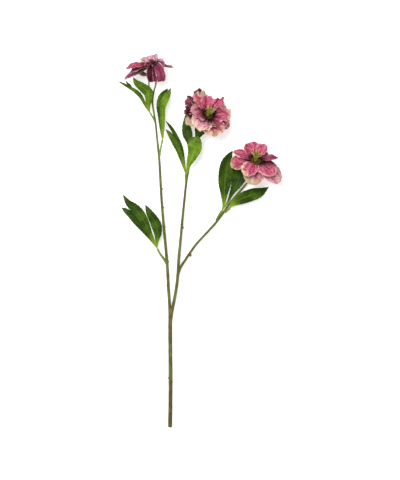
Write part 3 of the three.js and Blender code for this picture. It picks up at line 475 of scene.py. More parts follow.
def leaf_blade(tones):
    """Hellebore leaf, leathery with a thin wax: dark above with fine paler veins, light below.

    It gives a satin green with lateral veins that leave the midrib in pairs, a fine net between them,
    a yellow-green base and dark tips.
    """
    made, tree = start_material("hellebore_leaf_blade")
    place = add(tree, "TexCoord", out="Object")
    across, along = across_and_along(tree)
    names = ("light", "pairs", "under")
    light, pairs, under = [add(tree, "Attribute", out="Fac", attribute_name=name) for name in names]

    # Lateral veins stand where the way along, less the slant and the curve of the way aside, is a whole
    # number of pairs.
    side = add(tree, "Math", [across, 2.0, -1.0], operation="MULTIPLY_ADD")
    side = add(tree, "Math", [side], operation="ABSOLUTE")
    turn = add(tree, "Math", [side, -VEIN_SLANT, along], operation="MULTIPLY_ADD")
    squared = add(tree, "Math", [side, side], operation="MULTIPLY")
    turn = add(tree, "Math", [squared, -VEIN_CURVE, turn], operation="MULTIPLY_ADD")
    turn = add(tree, "Math", [turn, pairs], operation="MULTIPLY")
    nearest = add(tree, "Math", [turn], operation="ROUND")
    away = add(tree, "Math", [turn, nearest], operation="SUBTRACT")
    away = add(tree, "Math", [away], operation="ABSOLUTE")
    lateral = add(tree, "MapRange", [away, 0.0, 0.07, 0.35, 0.0], **SMOOTH)
    fading = add(tree, "MapRange", [side, 0.5, 1.0, 1.0, 0.2], **SMOOTH)
    lateral = add(tree, "Math", [lateral, fading], operation="MULTIPLY")
    midrib = add(tree, "MapRange", [side, 0.02, 0.12, 0.75, 0.0], **SMOOTH)
    fading = add(tree, "MapRange", [along, 0.3, 0.95, 1.0, 0.15], **SMOOTH)
    midrib = add(tree, "Math", [midrib, fading], operation="MULTIPLY")
    cells = {"Vector": place, "Scale": 0.75 * FINE}
    net = add(tree, "TexVoronoi", cells, "Distance", feature="DISTANCE_TO_EDGE")
    net = add(tree, "MapRange", [net, 0.0, 0.14, 1.0, 0.0], **SMOOTH)
    veins = add(tree, "Math", [net, 0.1], operation="MULTIPLY")
    veins = add(tree, "Math", [veins, lateral], operation="MAXIMUM")
    veins = add(tree, "Math", [veins, midrib], operation="MAXIMUM")

    patch = add(tree, "TexNoise", {"Vector": place, "Scale": 0.07 * FINE, "Detail": 3.0}, "Fac")
    patch = add(tree, "MapRange", [patch, 0.38, 0.64, 0.0, 1.0], **SMOOTH)
    mottle = add(tree, "TexNoise", {"Vector": place, "Scale": 0.4 * FINE, "Detail": 3.0}, "Fac")
    dark = paint(tree, tones.dark, [(patch, None, tones.dark_patch, COVER)])
    pale = paint(tree, tones.light, [(patch, None, tones.light_patch, COVER)])
    vein_tone = paint(tree, tones.vein, [(light, None, tones.light_vein, COVER)])
    base = add(tree, "Math", [mottle, 0.15, along], operation="MULTIPLY_ADD")
    tip = add(tree, "Math", [mottle, 0.1, along], operation="MULTIPLY_ADD")
    shaded = add(tree, "Math", [under, 0.5], operation="MULTIPLY")
    layers = [
        (light, None, pale, COVER),
        (mottle, (0.45, 0.75, 0.0, 0.55), tones.mottle, DARKEN),
        (veins, None, vein_tone, COVER),
        (base, (0.08, 0.38, 0.95, 0.0), tones.base, COVER),
        (tip, (0.93, 1.04, 0.0, 0.8), tones.tip, COVER),
        (shaded, None, tones.underside, COVER),
    ]
    relief = add(tree, "Math", [net, -0.5, mottle], operation="MULTIPLY_ADD")
    look = {"Roughness": 0.34, "IOR": 1.45, "Specular IOR Level": 0.07}
    finish_material(tree, paint(tree, dark, layers), relief, 0.5, 0.25, look)
    return made


def stem_skin(tones):
    """Hellebore stem, a fleshy ribbed stalk with a dull skin.

    It gives an olive brown at the cut end that turns grey-green towards the blooms, with fine lengthwise
    streaks, large brown and pale patches, small brown flecks, and brown rings at the forks and scars.
    """
    made, tree = start_material("hellebore_stem_skin")
    place = add(tree, "TexCoord", out="Object")
    around, along = across_and_along(tree)
    brown = add(tree, "Attribute", out="Fac", attribute_name="brown")
    pith = add(tree, "Attribute", out="Fac", attribute_name="pith")
    height = add(tree, "SeparateXYZ", [place], "Y")
    low, high = float(CAD_BOX[0].y), float(CAD_BOX[1].y)
    middle = low + 0.45 * (high - low)
    lengthwise = stretched(tree, around, along, 12.0, 60.0)
    waves = {"Vector": lengthwise, "Scale": 1.0, "Detail": 4.0, "Roughness": 0.65}
    streak = add(tree, "TexNoise", waves, "Fac")
    patch = add(tree, "TexNoise", {"Vector": place, "Scale": 0.045 * FINE, "Detail": 2.0}, "Fac")
    waves = {"Vector": place, "Scale": 0.25 * FINE, "Detail": 4.0, "Roughness": 0.7}
    fleck = add(tree, "TexNoise", waves, "Fac")
    worn = add(tree, "MapRange", [fleck, 0.3, 0.6, 0.6, 1.0], **SMOOTH)
    worn = add(tree, "Math", [worn, brown], operation="MULTIPLY")
    layers = [
        (height, (low, middle), tones.middle, COVER),
        (height, (middle, high), tones.high, COVER),
        (streak, (0.35, 0.62, 0.0, 0.75), tones.streak, DARKEN),
        (patch, (0.44, 0.62, 0.0, 0.25), tones.brown, COVER),
        (patch, (0.36, 0.54, 0.22, 0.0), tones.pale, COVER),
        (fleck, (0.55, 0.7, 0.0, 0.6), tones.brown, COVER),
        (worn, None, tones.brown, COVER),
        (pith, None, tones.pith, COVER),
    ]
    look = {"Roughness": 0.5, "IOR": 1.42, "Specular IOR Level": 0.15}
    finish_material(tree, paint(tree, tones.low, layers), streak, 0.5, 0.25, look)
    return made


def stamen_skin(tones):
    """Hellebore stamens and carpels: juicy yellow-green threads with powdery anthers, and darker carpels."""
    made, tree = start_material("hellebore_stamen_skin")
    place = add(tree, "TexCoord", out="Object")
    _, along = across_and_along(tree)
    anther = add(tree, "Attribute", out="Fac", attribute_name="anther")
    carpel = add(tree, "Attribute", out="Fac", attribute_name="carpel")
    grain = add(tree, "TexNoise", {"Vector": place, "Scale": 1.5 * FINE, "Detail": 2.0}, "Fac")
    layers = [
        (along, None, tones.thread, COVER),
        (anther, None, tones.pollen, COVER),
        (carpel, None, tones.carpel, COVER),
        (grain, (0.4, 0.75, 0.0, 0.5), tones.shade, DARKEN),
    ]
    look = {"Roughness": 0.5, "IOR": 1.4, "Specular IOR Level": 0.2}
    finish_material(tree, paint(tree, tones.thread_low, layers), grain, 0.4, 0.1, look)
    return made


def bud_skin(tones):
    """Hellebore bud, folded sepals with a satin skin: olive green at the base, flushed pink at the tip."""
    made, tree = start_material("hellebore_bud_skin")
    around, along = across_and_along(tree)
    stripes = stretched(tree, around, along, 30.0, 2.0)
    streak = add(tree, "TexNoise", {"Vector": stripes, "Scale": 1.0, "Detail": 3.0}, "Fac")
    flush = add(tree, "Math", [streak, 0.5, along], operation="MULTIPLY_ADD")
    layers = [
        (flush, (0.45, 1.15, 0.0, 1.0), tones.pink, COVER),
        (streak, (0.4, 0.65, 0.0, 0.7), tones.streak, DARKEN),
    ]
    look = {"Roughness": 0.45, "IOR": 1.42, "Specular IOR Level": 0.4}
    finish_material(tree, paint(tree, tones.green, layers), streak, 0.4, 0.2, look)
    return made


def table_top(white):
    """Opal acrylic sheet, cast smooth and lit a little from below: white and matt, with pale shadows."""
    made, tree = start_material("opal_acrylic_sheet")
    place = add(tree, "TexCoord", out="Object")
    grain = add(tree, "TexNoise", {"Vector": place, "Scale": 0.3 * FINE, "Detail": 2.0}, "Fac")
    look = {"Roughness": 0.9, "Specular IOR Level": 0.1, "Emission Color": white, "Emission Strength": 0.5}
    finish_material(tree, white, grain, 0.05, 0.1, look)
    return made


# ---- meshes ----
class Skin:
    """Gathers grids of points into one mesh, with one texture map and values that each point carries."""

    def __init__(self):
        self.points = []
        self.faces = []
        self.corners = []
        self.values = {}
        self.count = 0

    def _keep(self, points, faces, corners, values):
        """Adds points (n, 3), faces (f, k) of their numbers and the corners' coordinates (f, k, 2)."""
        self.points.append(points)
        self.faces.append(faces + self.count)
        self.corners.append(corners)
        self.count += len(points)
        for name, value in values.items():
            self.values.setdefault(name, []).append(value)

    @staticmethod
    def _spread(value, rows, columns):
        """A number, a colour or a grid of numbers as one entry for each point of a grid."""
        value = np.asarray(value, float)
        if value.shape == (4,):
            return np.broadcast_to(value, (rows * columns, 4))
        return np.broadcast_to(value, (rows, columns)).reshape(-1)

    def shell(self, top, bottom, across, along, values, bottom_values):
        """Two grids (n, m, 3) of one sheet, its upper and lower face, joined round their edges.

        The upper face's normal is its row direction crossed with its column direction. The lower face takes
        the upper one's values where it has none of its own.
        """
        rows, columns = top.shape[:2]
        index = np.arange(rows * columns).reshape(rows, columns)
        cells = np.stack([index[:-1, :-1], index[1:, :-1], index[1:, 1:], index[:-1, 1:]], -1).reshape(-1, 4)
        loop = np.concatenate([index[:, 0], index[-1, 1:], index[::-1, -1][1:], index[0, ::-1][1:]])
        below = rows * columns
        rim = np.stack([loop[1:], loop[:-1], loop[:-1] + below, loop[1:] + below], -1)
        faces = np.concatenate([cells, cells[:, ::-1] + below, rim])
        surface = np.stack(np.broadcast_arrays(across, along), -1).reshape(-1, 2)
        surface = np.concatenate([surface, surface])
        both = {}
        for name, value in values.items():
            upper = self._spread(value, rows, columns)
            lower = self._spread(bottom_values.get(name, value), rows, columns)
            both[name] = np.concatenate([upper, lower])
        self._keep(np.concatenate([top.reshape(-1, 3), bottom.reshape(-1, 3)]), faces, surface[faces], both)

    def tube(self, rings, values, along=None):
        """Rings of points (n, k, 3) about a path, each turning left about it, closed by a face at each end.

        A value is one number or colour, one number for each ring, or a grid of numbers. The texture map
        counts along from ring to ring, from 0 to 1 if nothing else is given.
        """
        steps, sides = rings.shape[:2]
        index = np.arange(steps * sides).reshape(steps, sides)
        after = np.roll(index, -1, axis=1)
        faces = np.stack([index[:-1], after[:-1], after[1:], index[1:]], -1).reshape(-1, 4)
        share = np.linspace(0, 1, steps) if along is None else along
        turn = np.arange(sides + 1) / sides
        u = np.broadcast_to(np.stack([turn[:-1], turn[1:], turn[1:], turn[:-1]], -1), (steps - 1, sides, 4))
        v = np.stack([share[:-1], share[:-1], share[1:], share[1:]], -1)[:, None]
        surface = np.stack([u, np.broadcast_to(v, u.shape)], -1).reshape(-1, 4, 2)
        spread = {}
        for name, value in values.items():
            ringed = np.ndim(value) == 1 and len(value) == steps
            spread[name] = self._spread(np.asarray(value)[:, None] if ringed else value, steps, sides)
        caps = np.stack([index[0][::-1], index[-1]]) + self.count
        self._keep(rings.reshape(-1, 3), faces, surface, spread)
        self.faces.append(caps)
        self.corners.append(np.array([[[0.5, share[0]]] * sides, [[0.5, share[-1]]] * sides]))

    def build(self, name, skin, node):
        """Makes the object in metres, in its place, riding on the body and standing for the node."""
        points = (np.concatenate(self.points) + CUT_END) * MM
        loops = np.concatenate([face.reshape(-1) for face in self.faces])
        counts = np.concatenate([np.full(len(face), face.shape[1]) for face in self.faces])
        mesh = bpy.data.meshes.new(name)
        mesh.vertices.add(len(points))
        mesh.vertices.foreach_set("co", points.reshape(-1).astype(np.float32))
        mesh.loops.add(len(loops))
        mesh.loops.foreach_set("vertex_index", loops.astype(np.int32))
        mesh.polygons.add(len(counts))
        mesh.polygons.foreach_set("loop_start", (np.cumsum(counts) - counts).astype(np.int32))
        mesh.update(calc_edges=True)
        corners = np.concatenate([corner.reshape(-1, 2) for corner in self.corners])
        mesh.uv_layers.new(name="Surface").uv.foreach_set("vector", corners.reshape(-1).astype(np.float32))
        for key, parts in self.values.items():
            value = np.concatenate(parts)
            coloured = value.ndim == 2
            carried = mesh.attributes.new(key, "FLOAT_COLOR" if coloured else "FLOAT", "POINT")
            carried.data.foreach_set("color" if coloured else "value", value.reshape(-1).astype(np.float32))
        mesh.shade_smooth()
        if mesh.validate():
            raise RuntimeError(f"{name}: its mesh has broken faces")
        piece = bpy.data.objects.new(name, mesh)
        bpy.context.scene.collection.objects.link(piece)
        piece.data.materials.append(skin)
        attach(piece, BODY)
        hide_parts(node)
        return piece


def unit(vectors):
    """Vectors along the last axis at length 1."""
    return vectors / np.linalg.norm(vectors, axis=-1, keepdims=True)


def falls(distance, width):
    """A bell curve: 1 at no distance, and near 0 past twice the width."""
    return np.exp(-((distance / width) ** 2))


def ease(value, start, end):
    """0 up to start, 1 from end on, and smooth between."""
    share = np.clip((value - start) / (end - start), 0, 1)
    return share * share * (3 - 2 * share)


PATH_STEPS = 24  # steps of a smooth path between two of its points


def smooth_path(points, shares):
    """Places, directions and fourth column, such as a radius, at shares of a curve, and the curve's length.

    Between two points the curve is the cubic whose end slopes come from their neighbours, with knots spaced
    by the square root of the chord, and the ends are carried on straight.
    """
    table = np.asarray(points, float)
    held = np.vstack([2 * table[0] - table[1], table, 2 * table[-1] - table[-2]])
    gaps = np.sqrt(np.linalg.norm(np.diff(held[:, :3], axis=0), axis=1))[:, None]
    before, start, end, after = held[:-3], held[1:-2], held[2:-1], held[3:]
    first, span, last = gaps[:-2], gaps[1:-1], gaps[2:]
    leave = span * ((start - before) / first - (end - before) / (first + span) + (end - start) / span)
    arrive = span * ((end - start) / span - (after - start) / (span + last) + (after - end) / last)
    t = np.linspace(0, 1, PATH_STEPS, endpoint=False)[:, None, None]
    curve = (2 * t**3 - 3 * t**2 + 1) * start + (t**3 - 2 * t**2 + t) * leave
    curve = curve + (3 * t**2 - 2 * t**3) * end + (t**3 - t**2) * arrive
    curve = np.vstack([curve.transpose(1, 0, 2).reshape(-1, table.shape[1]), table[-1]])
    length = np.concatenate([[0], np.cumsum(np.linalg.norm(np.diff(curve[:, :3], axis=0), axis=1))])
    at = np.asarray(shares) * length[-1]
    places = np.stack([np.interp(at, length, column) for column in curve.T], -1)
    slopes = np.gradient(curve[:, :3], length, axis=0)
    ways = unit(np.stack([np.interp(at, length, column) for column in slopes.T], -1))
    return places[:, :3], ways, places[:, 3:].reshape(-1), length[-1]


def turns(sides):
    """The angles of so many equal steps round a circle."""
    return 2 * np.pi * np.arange(sides) / sides


def heading(turn):
    """The way out from an axis at an angle about it, and the way to the left of that."""
    out = np.array([math.cos(turn), math.sin(turn), 0])
    return out, np.array([-out[1], out[0], 0])


def rings_about(places, ways, radii, level=UP):
    """Rings round a path. radii is (steps, sides), and a ring's last point lies on its level side.

    A point is the place, plus radius times the cosine of its turn sideways and the sine of it over.
    """
    turn = turns(radii.shape[1])
    side = unit(np.cross(ways, level))[:, None]
    over = np.cross(side, ways[:, None])
    spoke = np.cos(turn)[None, :, None] * side + np.sin(turn)[None, :, None] * over
    return (places[:, None] + radii[..., None] * spoke)[:, ::-1]


def upright_rings(radius, height, turn):
    """Rings about +Z: at each angle, radius times its cosine and its sine, at the ring's height."""
    x = radius * np.cos(turn)
    y = radius * np.sin(turn)
    return np.stack([x, y, np.broadcast_to(height, x.shape)], -1)


def turned_rings(profile, sides):
    """Rings of a body turned about +Z, from (radius, height) points that go up."""
    radius, height = np.array(profile, float).T
    return upright_rings(radius[:, None], height[:, None], turns(sides))


def bloom_frame(centre, axis):
    """A bloom's origin, and its three axes as rows: +Z is its axis, +X as near the table's +X as can be."""
    z = unit(np.array(axis, float))
    x = np.array([1.0, 0, 0])
    x = unit(x - x @ z * z)
    return np.array(centre, float), np.stack([x, np.cross(z, x), z])


def placed(points, centre, axis):
    """Points of a bloom's frame in the plan of the spray."""
    origin, axes = bloom_frame(centre, axis)
    return points @ axes + origin


def on_table(points, lowest=0.0):
    """What would reach below the table lies flat on it."""
    points[..., 2] = np.maximum(points[..., 2], lowest)
    return points


def thinned(thickness, rim, inwards):
    """A sheet's thickness, which falls to a share of it over the last mm inwards of its rim."""
    return thickness * (RIM_THICKNESS + (1 - RIM_THICKNESS) * ease(rim, 0, inwards))


# ---- petals ----
PETAL_ROWS = 56
PETAL_COLUMNS = 45
ROW_CROWDING = 1.8  # rows of points crowd towards the tip, and columns towards the edges
COLUMN_CROWDING = 0.92
CLAW_WIDTH = 0.16  # of a petal's foot and of its tip, as shares of its width
TIP_WIDTH = 0.06
RAG_DEPTH = 0.42  # mm, times the bloom's raggedness and the sum of the sines
RAG_SINES = [(1, 0.9, 1), (0.8, 1.7, 2), (0.7, 2.9, 3), (0.9, 0.43, 1)]  # depth, radians for a mm, phases
RAG_FALL = 2.0  # mm from the rim over which the rags die away, and the same for the frill
FRILL_FALL = 6.5
GROOVES = [(0.4, 0, 0.08), (0.12, 0.4, 0.08), (0.1, 0.7, 0.07)]  # depth in mm, place and width in t


def petal_sheet(petal, order, settings, bloom):
    """One petal's two faces in its bloom's frame, its coordinates, and the way to the rim and the ridge.

    Below, s runs from 0 at the claw to 1 at the tip, and t from -1 to 1 across. The midrib is an arc of a
    circle from the claw to the tip. The half width is a claw, plus a power of sin(pi s^1.5), plus a small
    tip. Near the rim the outline is pushed out and in by a sum of sines of the way round it. The blade is
    lifted by cup t^2, by a slow ruffle, by pleats and by a frill: a sine of the way round the rim that dies
    away inwards. The pleats are two cosines of the way across, bent by sines of the way along. The two faces
    part by the thickness, which thins towards the rim, and grooves run along the midrib and beside it. The
    last value says how far a point stands on a ridge of the frill or the pleats.
    """
    turn, reach, height, width, bow, blunt, cup, wave, twist, root = petal[:10]
    phase = 2.4 * order
    grow = np.linspace(0, 1, PETAL_ROWS)
    s = (1 - (1 - grow) ** ROW_CROWDING)[:, None]
    t = np.sin(np.pi / 2 * np.linspace(-1, 1, PETAL_COLUMNS) * COLUMN_CROWDING)[None]
    t = t / math.sin(np.pi / 2 * COLUMN_CROWDING)
    bend = math.radians(bow)
    chord = math.hypot(reach - PETAL_ROOT, height)
    belly = np.maximum(np.sin(np.pi * s**1.5), 0) ** blunt
    half = width / 2 * (CLAW_WIDTH * (1 - s) + belly + TIP_WIDTH * s**8)

    steps = np.hypot(np.diff(half[:, 0]), np.diff(s[:, 0]) * chord)
    way = np.concatenate([[0], np.cumsum(steps)])[:, None]
    round_rim = way[-1] + t * (way[-1] - way)  # mm from the claw, up the right edge and down the left
    rim = np.minimum(half * (1 - np.abs(t)), np.maximum((1 - s) * chord, half[-1] * (1 - np.abs(t))))
    grown = ease(s, 0.15, 0.5)
    pleated = ease(s, 0.05, 0.4)
    at_rim = np.exp(-rim / FRILL_FALL)

    rags = sum(depth * np.sin(round_rim * rate + phases * phase) for depth, rate, phases in RAG_SINES)
    push = bloom["ragged"] * RAG_DEPTH * rags * np.exp(-rim / RAG_FALL) * grown * ease(half, 0.5, 5.0)
    along = s * chord
    sideways = half * t
    from_middle = np.stack(np.broadcast_arrays(along - 0.5 * chord, sideways), -1)
    from_middle = from_middle / np.maximum(np.linalg.norm(from_middle, axis=-1, keepdims=True), 1.0)
    s_here = s + push * from_middle[..., 0] / chord
    sideways = sideways + push * from_middle[..., 1]

    ripple = np.sin(5.2 * s + 2.2 * t + phase)
    lifted = half * t * t * (cup + wave * s * ripple)
    beat = 0.75 + 0.45 * np.sin(round_rim * 0.13 + 1.3 * phase)
    fringe = 2 * np.pi * round_rim / settings.frill_length + 1.1 * np.sin(round_rim * 0.21 + phase)
    fringe = np.sin(fringe + phase)
    lifted = lifted + bloom["frill"] * beat * fringe * at_rim * grown
    folds = 0.6 * np.cos(2 * np.pi * (0.8 * t + 0.3 * np.sin(2.3 * s + phase)) + phase)
    folds = folds + 0.4 * np.cos(2 * np.pi * (1.9 * t - 0.3 * s * np.sin(1.7 * phase)) + 2.7 * phase)
    lifted = lifted + bloom["pleat"] * folds * (0.2 + 0.9 * s * s) * pleated
    # The ridge value is used in the petal's skin to paint light on the ridges and shade in the folds.
    ridge = np.clip(fringe * at_rim * beat + folds * pleated, -1.5, 1.5)
    groove = sum(depth * falls(np.abs(t) - place, width) for depth, place, width in GROOVES)
    lifted = lifted - groove * ease(1 - s, 0.1, 0.5) * ease(s, 0.02, 0.2)
    rolled = math.radians(twist) * s
    across = sideways * np.cos(rolled) - lifted * np.sin(rolled)
    above = sideways * np.sin(rolled) + lifted * np.cos(rolled)

    start = math.atan2(height, reach - PETAL_ROOT) + bend / 2
    radius = chord / 2 / math.sin(bend / 2)
    angle = start - bend * s_here
    out = PETAL_ROOT + radius * (math.sin(start) - np.sin(angle))
    lift = radius * (np.cos(angle) - math.cos(start))
    outward, left = heading(math.radians(turn))
    inner = -np.sin(angle)[..., None] * outward + np.cos(angle)[..., None] * UP
    middle = out[..., None] * outward + (lift + root)[..., None] * UP
    middle = middle + across[..., None] * left + above[..., None] * inner
    normal = unit(np.cross(np.gradient(middle, axis=0), np.gradient(middle, axis=1)))
    thickness = thinned(settings.petal_thickness, rim, 3.0)[..., None]
    return middle + normal * thickness / 2, middle - normal * thickness / 2, s, t, rim, ridge


def build_petals(side, settings, skin):
    """All of a bloom's petals, on their small turned hub."""
    bloom = BLOOMS[side]
    mesh = Skin()
    for order, petal in enumerate(bloom["petals"]):
        top, bottom, s, t, rim, ridge = petal_sheet(petal, order, settings, bloom)
        tone, rim_tone, reach, lean, throat, throat_lean = petal[10:]
        values = {
            "tone": getattr(settings, tone),
            "rim_tone": getattr(settings, rim_tone),
            "rim": rim,
            "reach": np.maximum(reach * (1 + lean * t) * (0.15 + 0.85 * ease(s, 0.2, 0.9)), 0.3),
            "throat": np.maximum(throat * (1 + throat_lean * t), 0.05),
            "seed": 3.7 * order,
            "under": 0.0,
            "ridge": ridge,
        }
        top = on_table(placed(top, bloom["centre"], bloom["axis"]), settings.petal_thickness)
        bottom = on_table(placed(bottom, bloom["centre"], bloom["axis"]))
        mesh.shell(top, bottom, (t + 1) / 2, s, values, {"under": 1.0, "ridge": -ridge})
    profile = [(0.4, HUB_BOTTOM), (3.2, HUB_BOTTOM), (4.0, -0.8), (HUB_RADIUS, 0.0)]
    top = bloom["hub"]
    profile += [(4.0, top - 0.7), (2.6, top - 0.2), (0.4, top)]
    hub = placed(turned_rings(profile, 28), bloom["centre"], bloom["axis"])
    values = dict.fromkeys(["under", "ridge"], 0.0) | dict.fromkeys(["tone", "rim_tone"], settings.maroon)
    mesh.tube(hub, values | {"rim": 9.0, "reach": 1.0, "throat": 0.5, "seed": 1.0})
    return mesh.build(f"bloom_{side}_petal_layers", skin, f"bloom_{side}_petals")


# ---- stamens ----
CARPELS = 5
CARPEL_HEIGHT = 0.9  # as a share of the stamens' length
GOLDEN_ANGLE = 2.399963


def build_stamens(side, settings, skin):
    """A bloom's seat disc, its carpels with their styles, and a crowd of stamens in three rings.

    A filament starts on its ring, leans out with the square of its height and bends a little to one side,
    and ends in an anther: a spindle whose radius is a power of a half sine. Lengths and bends are drawn at
    random from a seed.
    """
    bloom = BLOOMS[side]
    centre = np.array(bloom["centre"]) + unit(np.array(bloom["axis"], float)) * (bloom["hub"] - HUB_TOP)
    draw = np.random.default_rng(settings.seed + len(side))
    mesh = Skin()
    length = bloom["stamens"]

    def thread(path, radii, sides, values):
        """A tube that follows the path, in the bloom's frame."""
        places, ways, _, _ = smooth_path(path, np.linspace(0, 1, len(radii)))
        rings = rings_about(places, ways, np.repeat(radii[:, None], sides, 1), np.array([0.1, -1.0, 0.1]))
        mesh.tube(placed(rings, centre, bloom["axis"]), values)

    seat = [(0.3, STAMEN_SEAT), (STAMEN_DISC_RADIUS, STAMEN_SEAT), (STAMEN_DISC_RADIUS, STAMEN_TOP - 0.4)]
    seat += [(STAMEN_DISC_RADIUS - 0.4, STAMEN_TOP), (0.3, STAMEN_TOP)]
    mesh.tube(placed(turned_rings(seat, 20), centre, bloom["axis"]), {"anther": 0.0, "carpel": 0.8})
    share = np.linspace(0, 1, 14)
    tall = CARPEL_HEIGHT * length
    for turn in 2 * np.pi * (np.arange(CARPELS) + 0.3) / CARPELS:
        way, _ = heading(turn)
        path = [way * 0.8 + UP * (STAMEN_TOP - 0.8), way * 1.15 + UP * (STAMEN_TOP + 0.3 * tall)]
        path += [way * 1.2 + UP * (STAMEN_TOP + 0.65 * tall), way * 1.9 + UP * (STAMEN_TOP + tall)]
        radii = 0.28 + 0.75 * falls(share - 0.3, 0.22) * min(1, length / 12)
        thread(path, radii, 10, {"anther": 0.0, "carpel": 1.0})
    share = np.array([0, 0.35, 0.7, 1.0])[:, None]
    spindle = np.linspace(0, 1, 8)
    for i in range(settings.stamens):
        ring = 1.55 + 0.45 * (i % 3) + draw.uniform(-0.15, 0.15)
        way, aside = heading(GOLDEN_ANGLE * i)
        tall = length * draw.uniform(0.55, 1.0)
        lean = tall * draw.uniform(0.1, 0.5)
        bend = tall * draw.uniform(-0.12, 0.12)
        path = way * (ring + lean * share**2) + aside * bend * share**2
        path = path + UP * (STAMEN_TOP - 0.7 + (tall + 0.7) * share)
        radii = settings.filament * (1 - 0.35 * np.linspace(0, 1, 9))
        thread(path, radii, 6, {"anther": 0.0, "carpel": 0.0})
        end_way = unit(path[-1] - path[-2] + aside * draw.uniform(-1.6, 1.6))
        size = settings.anther * draw.uniform(0.8, 1.15)
        spine = path[-1] + (spindle[[0, 3, 7], None] - 0.35) * end_way * size * 2.4
        radii = 0.06 + size * 0.42 * np.sin(np.pi * spindle) ** 0.7
        thread(spine, radii, 8, {"anther": 1.0, "carpel": 0.0})
    return mesh.build(f"bloom_{side}_stamen_crowd", skin, f"bloom_{side}_stamens")


# ---- leaves ----
STALK_SIDES = 16
LEAFLET_COLUMNS = 31
TOOTH_STEPS = 8  # rows of points for each tooth
VEIN_SLANT = 0.12  # how far along the leaflet a lateral vein moves from the midrib to the edge
VEIN_CURVE = 0.07
TOOTH_SHARE = 0.12  # the deepest tooth, as a share of the half width there
QUILT_HEIGHT = 0.16  # mm that the blade bulges between its lateral veins
MIDRIB_WIDTH = 0.55


def leaflet_sheet(leaflet, settings):
    """One leaflet's upper and lower face in the plan of the spray, and its coordinates.

    The midrib and the half width follow the spine, and the blade folds up from the midrib by keel times
    the way across. Saw teeth stand on the outer tenth: each grows along the edge and ends sharply. The edge
    flutters by a sine of the way along. The upper face sinks along the midrib and along pairs of lateral
    veins, where the lower face stands out, and bulges between them.
    """
    roll, keel, light, spine = leaflet
    _, _, _, length = smooth_path(spine, [0, 1])
    teeth = max(4, round(length / settings.tooth_spacing))
    s = np.linspace(0, 1, teeth * TOOTH_STEPS + 1)[:, None]
    t = np.linspace(-1, 1, LEAFLET_COLUMNS)[None, :]
    t = np.sign(t) * np.abs(t) ** 0.9
    places, ways, half, _ = smooth_path(spine, s[:, 0])
    half = np.maximum(half, 0.08)[:, None]
    level = unit(np.cross(ways, UP))
    over = np.cross(level, ways)
    tipped = math.radians(roll) * np.sin(np.minimum(1, 2.5 * s) * np.pi / 2)
    side = np.cos(tipped) * level + np.sin(tipped) * over
    above = np.cross(side, ways)

    share = (s * teeth) % 1.0
    saw = (share * TOOTH_STEPS / (TOOTH_STEPS - 1)) ** 1.25
    tooth = np.minimum(settings.tooth, TOOTH_SHARE * half) * (saw - 0.4)
    tooth = tooth * ease(s, 0.12, 0.3) * ease(1 - s, 0.0, 0.05)
    reach = half * t + np.sign(t) * np.abs(t) ** 7 * tooth
    rim = half * (1 - np.abs(t))
    pairs = max(5, round(length / settings.vein_spacing))
    turn = (s - VEIN_SLANT * np.abs(t) - VEIN_CURVE * t * t) * pairs
    away = turn - np.round(turn)
    fade = ease(s, 0.04, 0.16) * ease(1 - s, 0.02, 0.15) * ease(1 - np.abs(t), 0.02, 0.3)
    fade = fade * np.minimum(1, half / 5)
    vein = falls(away, 0.13) * fade
    quilt = (0.5 - 0.5 * np.cos(2 * np.pi * away)) * fade * ease(np.abs(t), 0.05, 0.3)
    rib = falls(half * t, MIDRIB_WIDTH) * (1 - 0.7 * s)
    fold = keel * half * (np.sqrt(t * t + 0.015) - 0.12)
    flutter = 0.09 * half * np.sin(2 * np.pi * 3.2 * s + 2 * np.sign(t) + length) * np.abs(t) ** 3
    middle = fold + flutter * ease(s, 0.15, 0.4) + QUILT_HEIGHT * quilt - 0.1 * vein
    thickness = thinned(settings.leaf_thickness, rim, 2.5)
    upper = middle - 0.5 * rib + 0.5 * thickness
    lower = middle - 0.75 * rib - 0.14 * vein - 0.5 * thickness
    base = places[:, None] + side[:, None] * reach[..., None]
    top = base + above[:, None] * upper[..., None]
    bottom = base + above[:, None] * lower[..., None]
    values = {"light": light, "pairs": pairs, "under": 0.0}
    return top[:, ::-1], bottom[:, ::-1], s, (t[:, ::-1] + 1) / 2, values


def build_leaf(name, settings, skin):
    """A leaf: its leaflets, and the stalk that carries them from the stem.

    The stalk's radius is its route's, times 1 plus five low ribs cos(5 turn), and eases in at its end.
    """
    leaf = LEAVES[name]
    mesh = Skin()
    for leaflet in leaf["leaflets"]:
        top, bottom, along, across, values = leaflet_sheet(leaflet, settings)
        mesh.shell(on_table(top, 0.3), on_table(bottom), across, along, values, {"under": 1.0})
    shares = np.linspace(0, 1, 22)
    places, ways, radius, _ = smooth_path(leaf["stalk"], shares)
    ridged = settings.stalk_girth * radius[:, None] * (1 + 0.06 * np.cos(5 * turns(STALK_SIDES)))
    ridged = ridged * (1 - 0.75 * ease(shares, 0.86, 1.0))[:, None]
    _, _, light, _ = leaf["leaflets"][0]
    values = {"light": light, "pairs": 0.0, "under": 1 - shares}
    mesh.tube(rings_about(places, ways, ridged), values, along=0.24 - 0.19 * shares)
    return mesh.build(f"{name}_blades", skin, name)


# ---- the stem ----
RING_STEP = 1.4  # mm between rings along the stem
STEM_SIDES = 24
SWELLING = (0.2, 1.3)  # height and half length in mm of a ring, and of the dip beyond it
DIP = (0.12, 0.7)
BROWN_LENGTH = 4.5  # mm from a ring over which its brown dies away


def reach_bloom(branch, bloom):
    """Carries a branch on along a bloom's axis: to a point below its receptacle, and one in its foot."""
    origin, axes = bloom_frame(bloom["centre"], bloom["axis"])
    ends = [origin + axes[2] * (RECEPTACLE_TOP - lengths * RECEPTACLE_LENGTH) for lengths in (1.9, 0.9)]
    return branch + [[*end, branch[-1][3]] for end in ends]


